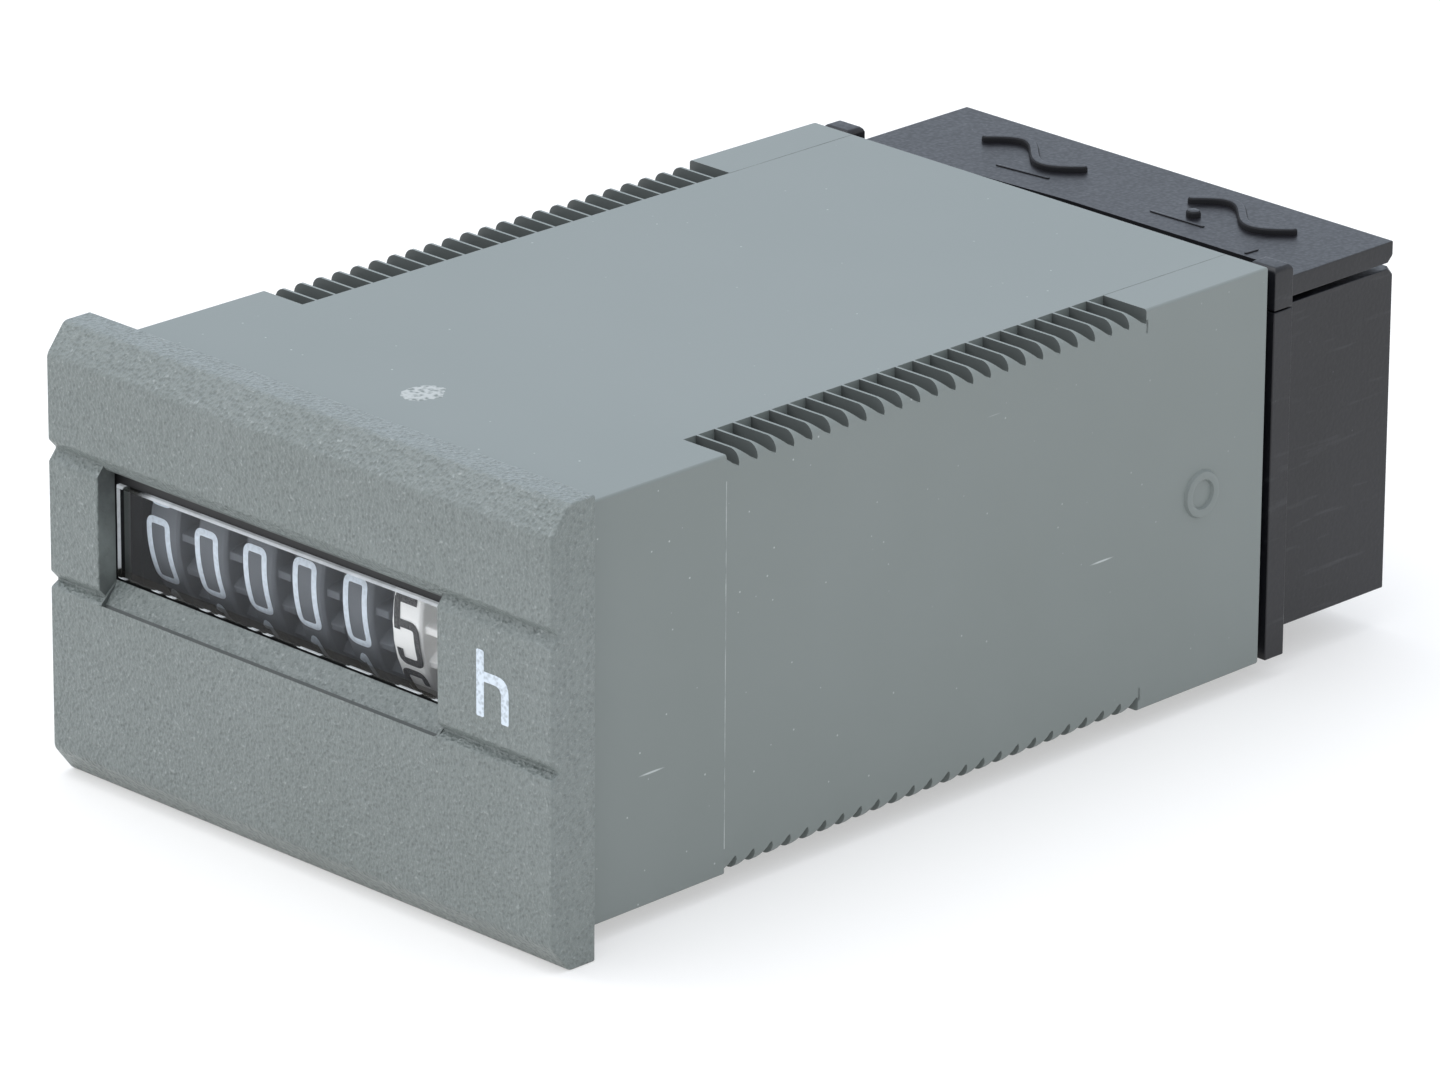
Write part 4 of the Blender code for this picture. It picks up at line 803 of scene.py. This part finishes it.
def moulded(name, dark, light, shine, rough, tone_scale, grain_scale, relief=0.1, gloss=0.5):
    """A moulded plastic: slow change of tone, uneven gloss and a fine grain."""
    surface, tree, shader = new_surface(name)
    shade = placed(tree, tone, {"Scale": tone_scale})["Tone"]
    grain = placed(tree, mould_grain, {"Scale": grain_scale})
    coloured(tree, shader, shade, dark, light)
    roughened(tree, shader, shade, 0.0, 1.0, shine, rough)
    bumped(tree, shader, grain["Height"], relief, 0.02 * MM)
    shader.inputs["Specular IOR Level"].default_value = gloss
    return surface


drum_black = moulded("drum_black", DRUM_BLACK, DRUM_WORN, shine=0.5, rough=0.62, tone_scale=250.0,
                     grain_scale=1500.0, relief=0.01, gloss=0.3)
ivory = moulded("ivory_acetal", IVORY, IVORY_DEEP, shine=0.35, rough=0.45, tone_scale=200.0,
                grain_scale=6000.0)
drums = []
for number in range(1, BLACK_DRUMS + 1):
    drums.append(("number_drum_%d" % number, drum_black, "black_plastic"))
drums.append(("tenths_drum", ivory, "ivory_plastic"))
for name, surface, slot in drums:
    made = finished(name + "_moulding", copied(name), [surface], name, [name])
    softened(made, DRUM_EDGE)
coat(ivory, "drum_spacer")


# Figures
# Ten figures are pad-printed round each drum and rise downwards: white on the black drums, dark on the
# white one. Each drum stands at its own small angle, as drums with play do.
DRUM_RADIUS, DRUM_Y, DRUM_Z = 6.397 * MM, 5.797 * MM, 1.95 * MM
RIM_FIRST, RIM_WIDTH, DRUM_PITCH = -13.167 * MM, 2.1057 * MM, 3.5057 * MM
FIGURE_STROKE, FIGURE_CORNER, FIGURE_LEAN = 0.37 * MM, 0.42 * MM, -0.05
FIGURE_HALF_WIDTH, FIGURE_HALF_HEIGHT = 0.67 * MM, 1.66 * MM
FIGURE_RISE, FIGURE_TURN, TENTHS_BOLDER = 1.5 * INK_RISE, 36.0, 1.15
DRUM_PLACES = [(-9.7, -0.28, 0), (-7.25, -0.25, 0), (-5.8, -0.22, 0), (-3.6, -0.15, 0),
               (-2.4, -0.05, 0), (-2.7, 0.1, 5)]
INK_DARK, INK_DARK_THIN = (0.014, 0.014, 0.016, 1.0), (0.05, 0.05, 0.05, 1.0)


def drawn(paths, stroke, rise):
    """A flat printed mark: each path is drawn with a round pen and pressed to the ink's thickness."""
    data = bpy.data.curves.new("pen", "CURVE")
    data.dimensions = "3D"
    data.bevel_depth = stroke / 2
    data.bevel_resolution = 1
    data.use_fill_caps = True
    for path, closed in paths:
        line = data.splines.new("POLY")
        line.points.add(len(path) - 1)
        for point, place in zip(line.points, path):
            point.co = (place[0], place[1], 0.0, 1.0)
        line.use_cyclic_u = closed
    pen = bpy.data.objects.new("pen", data)
    bpy.context.scene.collection.objects.link(pen)
    mesh = pen.evaluated_get(bpy.context.evaluated_depsgraph_get()).to_mesh()
    mark = bmesh.new()
    mark.from_mesh(mesh)
    bpy.data.objects.remove(pen)
    bpy.data.curves.remove(data)
    bmesh.ops.remove_doubles(mark, verts=mark.verts, dist=TINY / 10)
    bmesh.ops.scale(mark, vec=(1.0, 1.0, rise / (stroke / 2)), verts=mark.verts)
    return mark


a, b = FIGURE_HALF_WIDTH, FIGURE_HALF_HEIGHT
FIGURES = [
    [([(0.0, b), (a, b), (a, -b), (-a, -b), (-a, b), (0.0, b)], True)],
    [([(-0.45 * a, 0.62 * b), (0.2 * a, b), (0.2 * a, -b)], False)],
    [([(-a, 0.6 * b), (-a, b), (a, b), (a, 0.15 * b), (-a, -b), (a, -b)], False)],
    [([(-a, 0.65 * b), (-a, b), (a, b), (a, 0.0), (-0.3 * a, 0.0)], False),
     ([(-0.3 * a, 0.0), (a, 0.0), (a, -b), (-a, -b), (-a, -0.65 * b)], False)],
    [([(0.3 * a, b), (-a, -0.4 * b), (a, -0.4 * b)], False),
     ([(0.45 * a, 0.15 * b), (0.45 * a, -b)], False)],
    [([(a, b), (-1.2 * a, b)], False), ([(-a, b), (-a, 0.02 * b)], False),
     ([(-a, 0.24 * b), (a, 0.24 * b), (a, -b), (-a, -b), (-a, -0.6 * b)], False)],
    [([(a, 0.62 * b), (a, b), (-a, b), (-a, -b), (a, -b), (a, 0.12 * b), (-a, 0.12 * b)], False)],
    [([(-a, b), (a, b), (a, 0.75 * b), (-0.25 * a, -b)], False)],
    [([(0.0, b), (a, b), (a, -b), (-a, -b), (-a, b), (0.0, b)], True),
     ([(-a, 0.05 * b), (a, 0.05 * b)], False)],
    [([(-a, -0.55 * b), (-a, -0.84 * b), (a, -0.84 * b), (a, b), (-a, b), (-a, -0.02 * b),
       (a, -0.02 * b)], False)],
]

figure_white, tree, shader = new_surface("white_ink", 0.5)
grain = placed(tree, mould_grain, {"Scale": 5200.0})
coloured(tree, shader, between(tree, grain["Height"], 0.75, 0.35, 0.0, 0.5), INK_WHITE, INK_THIN)
bumped(tree, shader, grain["Height"], strength=0.2, distance=0.02 * MM)
figure_dark, tree, shader = new_surface("dark_ink", 0.5)
grain = placed(tree, mould_grain, {"Scale": 6000.0})
coloured(tree, shader, between(tree, grain["Height"], 0.62, 0.42), INK_DARK, INK_DARK_THIN)
bumped(tree, shader, grain["Height"], strength=0.2, distance=0.02 * MM)

for number, (angle, offset, shown) in enumerate(DRUM_PLACES):
    name = drums[number][0]
    ink, slot = (figure_dark, "black_plastic") if shown else (figure_white, "ivory_plastic")
    stroke = FIGURE_STROKE * (TENTHS_BOLDER if shown else 1.0)
    band = bmesh.new()
    middle = RIM_FIRST + number * DRUM_PITCH + RIM_WIDTH / 2 + offset * MM
    for figure, lines in enumerate(FIGURES):
        paths = []
        for points, ring in lines:
            path = rounded_path(points, FIGURE_CORNER)
            paths.append((path[:-1] if ring else path, ring))
        mark = drawn(paths, stroke, FIGURE_RISE)
        start = math.radians(angle - FIGURE_TURN * (figure - shown))
        for corner in mark.verts:
            u, v, rise = corner.co
            turn = start + v / DRUM_RADIUS
            reach = DRUM_RADIUS + INK_RISE + rise
            corner.co = (middle + u + FIGURE_LEAN * v, DRUM_Y - reach * math.cos(turn),
                         DRUM_Z + reach * math.sin(turn))
        mesh = bpy.data.meshes.new("figure")
        mark.to_mesh(mesh)
        mark.free()
        band.from_mesh(mesh)
        bpy.data.meshes.remove(mesh)
    finished(name + "_figures", band, [ink], name)


# Gears
# The motor's cut brass pinion turns an acetal idler, which drives the tenths drum; small acetal pinions carry
# the turning from each drum to the next. The acetal gears are moulded and run loose on their shafts.
BRASS, BRASS_DULL = (0.66, 0.47, 0.19, 1.0), (0.48, 0.33, 0.13, 1.0)
GEAR_EDGE = 0.03 * MM

cut_brass, tree, shader = new_surface("cut_brass", metallic=1.0)
lathe = placed(tree, tool_lines, {"Along": 50.0, "Across": 5000.0})
coloured(tree, shader, lathe["Rings"], BRASS, BRASS_DULL)
roughened(tree, shader, lathe["Rings"], 0.0, 1.0, 0.24, 0.42)
bumped(tree, shader, lathe["Rings"], strength=0.15, distance=0.006 * MM)
gears = []
for number in range(1, BLACK_DRUMS + 1):
    gears.append(("transfer_pinion_%d" % number, ivory, "ivory_plastic"))
gears += [("idler_gear", ivory, "ivory_plastic"), ("motor_pinion", cut_brass, "brass")]
for name, surface, slot in gears:
    made = finished(name + "_cut", copied(name), [surface], name, [name])
    softened(made, GEAR_EDGE)


# Motor
# A small synchronous motor in a zinc-plated steel can, drawn and beaded shut, with a moulded gearbox of pale
# plastic beside it. Two steel posts hold it in the counter frame.
ZINC, ZINC_BLOOM = (0.52, 0.54, 0.56, 1.0), (0.38, 0.40, 0.43, 1.0)
GEARBOX, GEARBOX_DEEP = (0.62, 0.62, 0.58, 1.0), (0.54, 0.54, 0.50, 1.0)
CAN_EDGE, GEARBOX_EDGE = 0.35 * MM, 0.25 * MM

zinc_plate, tree, shader = new_surface("zinc_plate", metallic=1.0)
bloom = placed(tree, tone, {"Scale": 400.0})["Tone"]
drawn_lines = placed(tree, tool_lines, {"Along": 30.0, "Across": 3000.0})
coloured(tree, shader, maths(tree, "MULTIPLY", bloom, drawn_lines["Lines"]), ZINC, ZINC_BLOOM)
roughened(tree, shader, bloom, 0.0, 1.0, 0.28, 0.45)
bumped(tree, shader, drawn_lines["Lines"], strength=0.1, distance=0.006 * MM)
made = finished("motor_shell", copied("motor_can"), [zinc_plate], "meter_body",
                ["motor_can"])
softened(made, CAN_EDGE, segments=3)
pale_plastic = moulded("gearbox_plastic", GEARBOX, GEARBOX_DEEP, shine=0.4, rough=0.55, tone_scale=120.0,
                       grain_scale=5000.0, relief=0.15)
made = finished("motor_gearbox", copied("gearbox_case"), [pale_plastic], "meter_body",
                ["gearbox_case"])
softened(made, GEARBOX_EDGE, segments=3)


# Circuit board
# A phenolic board with a film capacitor and a resistor drops the line voltage for the motor; two covered
# wires run forward to the can.
LAMINATE, LAMINATE_DARK = (0.24, 0.13, 0.05, 1.0), (0.15, 0.075, 0.03, 1.0)
FILM, FILM_DEEP = (0.60, 0.36, 0.06, 1.0), (0.48, 0.26, 0.04, 1.0)
RESISTOR, RESISTOR_DEEP = (0.52, 0.42, 0.28, 1.0), (0.468, 0.378, 0.252, 1.0)
BANDS = [(0.06, 0.02, 0.01, 1.0), (0.32, 0.02, 0.02, 1.0), (0.6, 0.4, 0.1, 1.0)]
BAND_FIRST, BAND_PITCH, BAND_REACH, BAND_WHOLE = 0.35, 0.15, 0.35 * MM, 0.3 * MM
WIRE_RED, WIRE_BROWN = (0.30, 0.02, 0.02, 1.0), (0.10, 0.045, 0.02, 1.0)

laminate, tree, shader = new_surface("phenolic_laminate")
weave = placed(tree, tool_lines, {"Along": 1500.0, "Across": 1500.0})
shade = placed(tree, tone, {"Scale": 150.0})["Tone"]
coloured(tree, shader, maths(tree, "MULTIPLY", weave["Lines"], shade), LAMINATE, LAMINATE_DARK)
roughened(tree, shader, shade, 0.0, 1.0, 0.38, 0.5)
bumped(tree, shader, weave["Lines"], strength=0.15, distance=0.01 * MM)
coat(laminate, "circuit_board")
film_wrap = moulded("film_wrap", FILM, FILM_DEEP, shine=0.25, rough=0.38, tone_scale=180.0,
                    grain_scale=3000.0)
coat(film_wrap, "film_capacitor")
wire_red = moulded("wire_red", WIRE_RED, WIRE_BROWN, shine=0.35, rough=0.5, tone_scale=160.0,
                   grain_scale=4000.0)
coat(wire_red, "motor_wire_1", "motor_wire_2")

resistor_paint, tree, shader = new_surface("resistor_paint", 0.35)
resistor_low, resistor_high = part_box("series_resistor")
along = node(tree, "SeparateXYZ", {"Vector": object_place(tree)}).outputs["X"]
shade = placed(tree, tone, {"Scale": 300.0})["Tone"]
colour = mixed(tree, shade, RESISTOR, RESISTOR_DEEP)
for order, paint in enumerate(BANDS):
    middle = resistor_low.x + (resistor_high.x - resistor_low.x) * (BAND_FIRST + BAND_PITCH * order)
    away = maths(tree, "ABSOLUTE", maths(tree, "SUBTRACT", along, middle))
    colour = mixed(tree, between(tree, away, BAND_REACH, BAND_WHOLE), colour, paint)
tree.links.new(colour, shader.inputs["Base Color"])
coat(resistor_paint, "series_resistor")


# Terminal block
# A black moulding closes the rear. Its flange lies against the body's end, with a low seat for each ear of
# the cover, and two square chambers hold the wire clamps. Plated strips lead from the board into them.
PLASTIC_BLACK, PLASTIC_RUBBED = (0.005, 0.005, 0.007, 1.0), (0.010, 0.010, 0.013, 1.0)
RUB_PALE = (0.16, 0.165, 0.175, 1.0)
PLATED, PLATED_DULL = (0.66, 0.66, 0.63, 1.0), (0.50, 0.50, 0.48, 1.0)
LIP_ROUND, BLOCK_EDGE, CONTACT_EDGE = 0.38 * MM, 0.12 * MM, 0.08 * MM
EAR_SEAT_START, EAR_SEAT_RISE = 15.3 * MM, 0.22 * MM

# long rubbed streaks over broad faces
rubbing, given, out, place = new_effect("rubbed_streaks", {"Scale": 160.0}, ["Mask"])
streaks = []
for turn in (0.4, -0.5):
    spun = node(rubbing, "Mapping", {"Vector": place, "Rotation": (turn, 0.3, turn),
                                     "Scale": (9.0, 1.0, 9.0)})
    streak = node(rubbing, "TexNoise", {"Vector": spun.outputs["Vector"], "Scale": given["Scale"],
                                        "Detail": 4.0})
    streaks.append(between(rubbing, streak.outputs["Fac"], 0.64, 0.76))
rubbing.links.new(maths(rubbing, "MAXIMUM", *streaks), out["Mask"])

black_plastic, tree, shader = new_surface("terminal_black")
shader.inputs["Specular IOR Level"].default_value = 0.42
grain = placed(tree, mould_grain, {"Scale": 4200.0})
shade = placed(tree, tone, {"Scale": 90.0})["Tone"]
rubs = placed(tree, rubbing, {"Scale": 160.0})["Mask"]
specks = placed(tree, handling, {"Dust": 1.0, "Scratches": 1.0})["Mask"]
colour = mixed(tree, shade, PLASTIC_BLACK, PLASTIC_RUBBED)
colour = mixed(tree, maths(tree, "MULTIPLY", rubs, 0.12), colour, RUB_PALE)
coloured(tree, shader, maths(tree, "MULTIPLY", specks, 0.5), colour, RUB_PALE)
roughened(tree, shader, grain["Height"], 0.3, 0.7, 0.28, 0.4)
bumped(tree, shader, grain["Height"], strength=0.25, distance=0.03 * MM)

block_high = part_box("terminal_block")[1]
block = copied("terminal_block")
for side in (-1, 1):
    sliced(block, all_parts(block), (side * EAR_SEAT_START, 0.0, 0.0), (1.0, 0.0, 0.0))
flat = faces_where(block, lambda co: close(co.z, block_high.z))
seats = [face for face in flat if abs(face.calc_center_median().x) > EAR_SEAT_START]
pushed(block, seats, (0.0, 0.0, EAR_SEAT_RISE))
lip = edges_where(block, lambda co: close(co.y, block_high.y) and close(co.z, block_high.z))
rounded(block, lip, LIP_ROUND)
made = finished("terminal_moulding", block, [black_plastic], "meter_body",
                ["terminal_block"])
softened(made, BLOCK_EDGE)

plated_steel, tree, shader = new_surface("plated_steel", metallic=1.0)
rolled = placed(tree, tool_lines, {"Along": 500.0, "Across": 3000.0})
stain = placed(tree, tone, {"Scale": 500.0})["Tone"]
coloured(tree, shader, maths(tree, "MULTIPLY", rolled["Lines"], stain), PLATED, PLATED_DULL)
roughened(tree, shader, stain, 0.0, 1.0, 0.25, 0.42)
bumped(tree, shader, rolled["Lines"], strength=0.12, distance=0.008 * MM)
for side in ("left", "right"):
    strip = "contact_strip_" + side
    made = finished("contact_" + side, copied(strip), [plated_steel], "meter_body", [strip])
    softened(made, CONTACT_EDGE)


# Wire clamps
# In each chamber a cage of plated steel, bent from strip, hangs on a slotted screw. Turning the screw lifts
# the cage, which presses the wire against the contact strip.
CAGE_EDGE, SCREW_EDGE = 0.15 * MM, 0.18 * MM

for side in ("left", "right"):
    cage, screw = "clamp_cage_" + side, "terminal_screw_" + side
    made = finished(cage + "_bent", copied(cage), [plated_steel], cage, [cage])
    softened(made, CAGE_EDGE)
    made = finished(screw + "_turned", copied(screw), [plated_steel], screw, [screw])
    softened(made, SCREW_EDGE)


# Terminal cover
# A flat black lid over the screws, held by two ears in front and pegs below. The signs for alternating
# current and the ribs over its latches stand on its top, and a step behind the body lets a blade in.
LID_TOP, LID_LIP_LOW, LID_LIP_HIGH = 9.427 * MM, 7.427 * MM, 8.927 * MM
COVER_EDGE, COVER_LIP, EAR_ROUND = 0.1 * MM, 0.38 * MM, 0.28 * MM
COVER_EDGE_ANGLE, COVER_SMOOTH = math.radians(40.0), math.radians(25.0)
WAVE_STROKE, WAVE_HEIGHT = 0.55 * MM, 0.33 * MM
WAVE_REACH, WAVE_RISE, WAVE_STEPS = 3.47 * MM, 1.1 * MM, 36
WAVE_PLACES = [(-7.0, 56.85), (7.4, 57.3)]
RIB_STROKE, RIB_HEIGHT = 0.2 * MM, 0.06 * MM
RIBS = [[(-7.3, 54.35), (-4.0, 54.7)], [(3.4, 54.7), (6.9, 54.8)], [(11.25, 53.35), (11.3, 54.1)]]
PIP, PIP_STROKE, PIP_HEIGHT = [(5.35, 55.75), (5.45, 55.7)], 0.75 * MM, 0.35 * MM
MARK_EDGE, MARK_FOOT = 0.2 * MM, 0.05 * MM
STEP = [(-9.5, 51.6), (13.9, 51.6), (13.9, 53.0), (-1.0, 52.9), (-9.5, 52.3)]
STEP_DEPTH = 0.6 * MM
SIDE_BLACK, SIDE_BLACK_LIGHT = (0.006, 0.006, 0.008, 1.0), (0.010, 0.010, 0.012, 1.0)
SHADED_SIDE = 1


def stroke_rim(points, width, caps=6):
    """The outline of a stroke with round ends along a path, anticlockwise."""
    sides = ([], [])
    for order, point in enumerate(points):
        way = (points[min(order + 1, len(points) - 1)] - points[max(order - 1, 0)]).normalized()
        out = Vector((way.y, -way.x)) * width / 2
        sides[0].append(point + out)
        sides[1].append(point - out)
    rim = list(sides[0])
    for centre, first in ((points[-1], sides[0][-1]), (points[0], sides[1][0])):
        for step in range(1, caps):
            rim.append(centre + Matrix.Rotation(math.pi * step / caps, 2) @ (first - centre))
        if first is sides[0][-1]:
            rim += reversed(sides[1])
    return rim


def raised(shape, rim, level, height):
    """Stands a flat mark with steep sides and a softened top on a face; its foot is let into the face."""
    foot = shape.faces.new([shape.verts.new((point.x, point.y, level - MARK_FOOT)) for point in rim])
    crest = pushed(shape, [foot], (0.0, 0.0, height + MARK_FOOT))[0]
    for side in {side for edge in crest.edges for side in edge.link_faces if side is not crest}:
        side.material_index = SHADED_SIDE
    rounded(shape, list(crest.edges), min(MARK_EDGE, height / 2))


def scaled(points):
    """Points on the lid's top, given in millimetres."""
    return [Vector((x * MM, y * MM)) for x, y in points]


shaded_black = moulded("shaded_black", SIDE_BLACK, SIDE_BLACK_LIGHT, shine=0.6, rough=0.75,
                       tone_scale=300.0, grain_scale=4000.0, relief=0.2, gloss=0.3)
lid_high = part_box("terminal_cover")[1]
lid = copied("terminal_cover")
lip = edges_where(lid, lambda co: close(co.y, lid_high.y) and LID_LIP_LOW < co.z < LID_LIP_HIGH)
rounded(lid, lip, COVER_LIP)
rounded(lid, edges_where(lid, lambda co: close(co.z, lid_high.z)), EAR_ROUND)
sharp = [edge for edge in lid.edges if edge.calc_face_angle_signed(0.0) > COVER_EDGE_ANGLE]
rounded(lid, sharp, COVER_EDGE, segments=2)
lid.normal_update()
flat = faces_where(lid, lambda co: close(co.z, LID_TOP))
top = bmesh.ops.dissolve_faces(lid, faces=flat)["region"][0]
step = scaled(STEP)
middle = sum(step, Vector((0.0, 0.0))) / len(step)
for start, end in zip(step, step[1:] + step[:1]):
    along = end - start
    sliced(lid, [top, *top.edges, *top.verts], (start.x, start.y, LID_TOP), (along.y, -along.x, 0.0))
    level = faces_where(lid, lambda co: close(co.z, LID_TOP))
    top = next(face for face in level if bmesh.geometry.intersect_face_point(face, (*middle, LID_TOP)))
bottom = pushed(lid, [top], (0.0, 0.0, -STEP_DEPTH))[0]
for side in {side for edge in bottom.edges for side in edge.link_faces if side is not bottom}:
    side.material_index = SHADED_SIDE
for middle in scaled(WAVE_PLACES):
    wave = []
    for order in range(WAVE_STEPS + 1):
        share = 2 * order / WAVE_STEPS - 1
        wave.append(middle + Vector((WAVE_REACH * share, -WAVE_RISE * math.sin(math.pi * share))))
    raised(lid, stroke_rim(wave, WAVE_STROKE), LID_TOP, WAVE_HEIGHT)
for line in RIBS:
    raised(lid, stroke_rim(scaled(line), RIB_STROKE, caps=3), LID_TOP, RIB_HEIGHT)
raised(lid, stroke_rim(scaled(PIP), PIP_STROKE), LID_TOP, PIP_HEIGHT)
finished("cover_moulding", lid, [black_plastic, shaded_black], "terminal_cover",
         ["terminal_cover"], COVER_SMOOTH)


# Stage, light and camera
# A matt pale floor in an even white studio, with a large soft lamp above and a small one in front. The camera
# stands where the photograph was taken.
FLOOR_SIZE, FLOOR_GLOW = 6.0, 0.45
FLOOR_PALE, FLOOR_SEEN = (0.86, 0.85, 0.83, 1.0), (0.55, 0.54, 0.525, 1.0)
WHITE, BLACK = (1.0, 1.0, 1.0, 1.0), (0.0, 0.0, 0.0, 1.0)
SKY_LEVEL, SKY_TOP, SKY_BEHIND = (0.92, 0.93, 0.94, 1.0), (0.92, 0.98, 1.08, 1.0), (0.95, 1.06, 1.22, 1.0)
BEHIND = (-0.707, 0.707, 0.0)
SOFTBOX_SIZE, SOFTBOX_POWER, SOFTBOX_PLACE, SOFTBOX_AIM = 0.7, 2.3, (-0.15, -0.1, 0.7), (0.0, 0.02, 0.0)
FRONT_SIZE, FRONT_POWER, FRONT_PLACE, FRONT_AIM = 0.14, 0.8, (-0.6, -0.45, 0.52), (0.0, 0.0, 0.0)
VIEW_AZIMUTH, VIEW_ELEVATION = math.radians(44.853), math.radians(20.959)
VIEW_ROLL = math.radians(0.358)
VIEW_DISTANCE = 482.526 * MM
VIEW_RIGHT, VIEW_UP = 18.663 * MM, 4.461 * MM
VIEW_LENS, VIEW_SENSOR = 246.5, 36.0
VIEW_NEAR, VIEW_FAR = 0.01, 20.0


def area_lamp(name, size, power, place, aim):
    """A soft square lamp that points at a spot."""
    light = bpy.data.lights.new(name, "AREA")
    light.shape = "RECTANGLE"
    light.size, light.size_y = size, size
    light.energy = power
    lamp = bpy.data.objects.new(name, light)
    lamp.location = place
    lamp.rotation_euler = (Vector(aim) - lamp.location).to_track_quat("-Z", "Y").to_euler()
    bpy.context.scene.collection.objects.link(lamp)


ground = bmesh.new()
bmesh.ops.create_grid(ground, x_segments=1, y_segments=1, size=FLOOR_SIZE / 2)
bmesh.ops.translate(ground, verts=ground.verts, vec=(0.0, 0.0, housing_low.z))
mesh = bpy.data.meshes.new("floor")
ground.to_mesh(mesh)
ground.free()
floor_paint, tree, shader = new_surface("floor_paint", 0.9)
path = node(tree, "LightPath")
seen = maths(tree, "MAXIMUM", path.outputs["Is Camera Ray"], path.outputs["Is Glossy Ray"])
seen = maths(tree, "MAXIMUM", seen, path.outputs["Is Transmission Ray"])
coloured(tree, shader, seen, FLOOR_PALE, FLOOR_SEEN)
shader.inputs["Emission Strength"].default_value = FLOOR_GLOW
tree.links.new(mixed(tree, seen, BLACK, WHITE), shader.inputs["Emission Color"])
mesh.materials.append(floor_paint)
floor = bpy.data.objects.new("floor", mesh)
bpy.context.scene.collection.objects.link(floor)

studio = bpy.data.worlds.new("studio")
studio.use_nodes = True
tree = studio.node_tree
tree.nodes.clear()
direction = node(tree, "TexCoord").outputs["Generated"]
up = node(tree, "SeparateXYZ", {"Vector": direction}).outputs["Z"]
sky = mixed(tree, between(tree, up, 0.0, 0.8), SKY_LEVEL, SKY_TOP)
behind = node(tree, "VectorMath", {0: direction, 1: BEHIND}, operation="DOT_PRODUCT").outputs["Value"]
sky = mixed(tree, between(tree, behind, 0.2, 0.8), sky, SKY_BEHIND)
path = node(tree, "LightPath")
seen = maths(tree, "MAXIMUM", path.outputs["Is Camera Ray"], path.outputs["Is Transmission Ray"])
background = node(tree, "Background", {"Color": mixed(tree, seen, sky, WHITE), "Strength": 1.0})
node(tree, "OutputWorld", {"Surface": background.outputs["Background"]})
bpy.context.scene.world = studio

area_lamp("softbox", SOFTBOX_SIZE, SOFTBOX_POWER, SOFTBOX_PLACE, SOFTBOX_AIM)
area_lamp("front_lamp", FRONT_SIZE, FRONT_POWER, FRONT_PLACE, FRONT_AIM)

back = Vector((math.sin(VIEW_AZIMUTH) * math.cos(VIEW_ELEVATION),
               -math.cos(VIEW_AZIMUTH) * math.cos(VIEW_ELEVATION), math.sin(VIEW_ELEVATION)))
level = Vector((0.0, 0.0, 1.0)).cross(back).normalized()
rise = back.cross(level)
right = level * math.cos(VIEW_ROLL) + rise * math.sin(VIEW_ROLL)
above = rise * math.cos(VIEW_ROLL) - level * math.sin(VIEW_ROLL)
lens_data = bpy.data.cameras.new("camera")
lens_data.lens = VIEW_LENS
lens_data.sensor_width = VIEW_SENSOR
lens_data.clip_start, lens_data.clip_end = VIEW_NEAR, VIEW_FAR
camera = bpy.data.objects.new("camera", lens_data)
turn = Matrix((right, above, back)).transposed().to_4x4()
spot = right * VIEW_RIGHT + above * VIEW_UP + back * VIEW_DISTANCE
camera.matrix_world = Matrix.Translation(spot) @ turn
bpy.context.scene.collection.objects.link(camera)
bpy.context.scene.camera = camera
bpy.context.scene.view_settings.view_transform = "Standard"
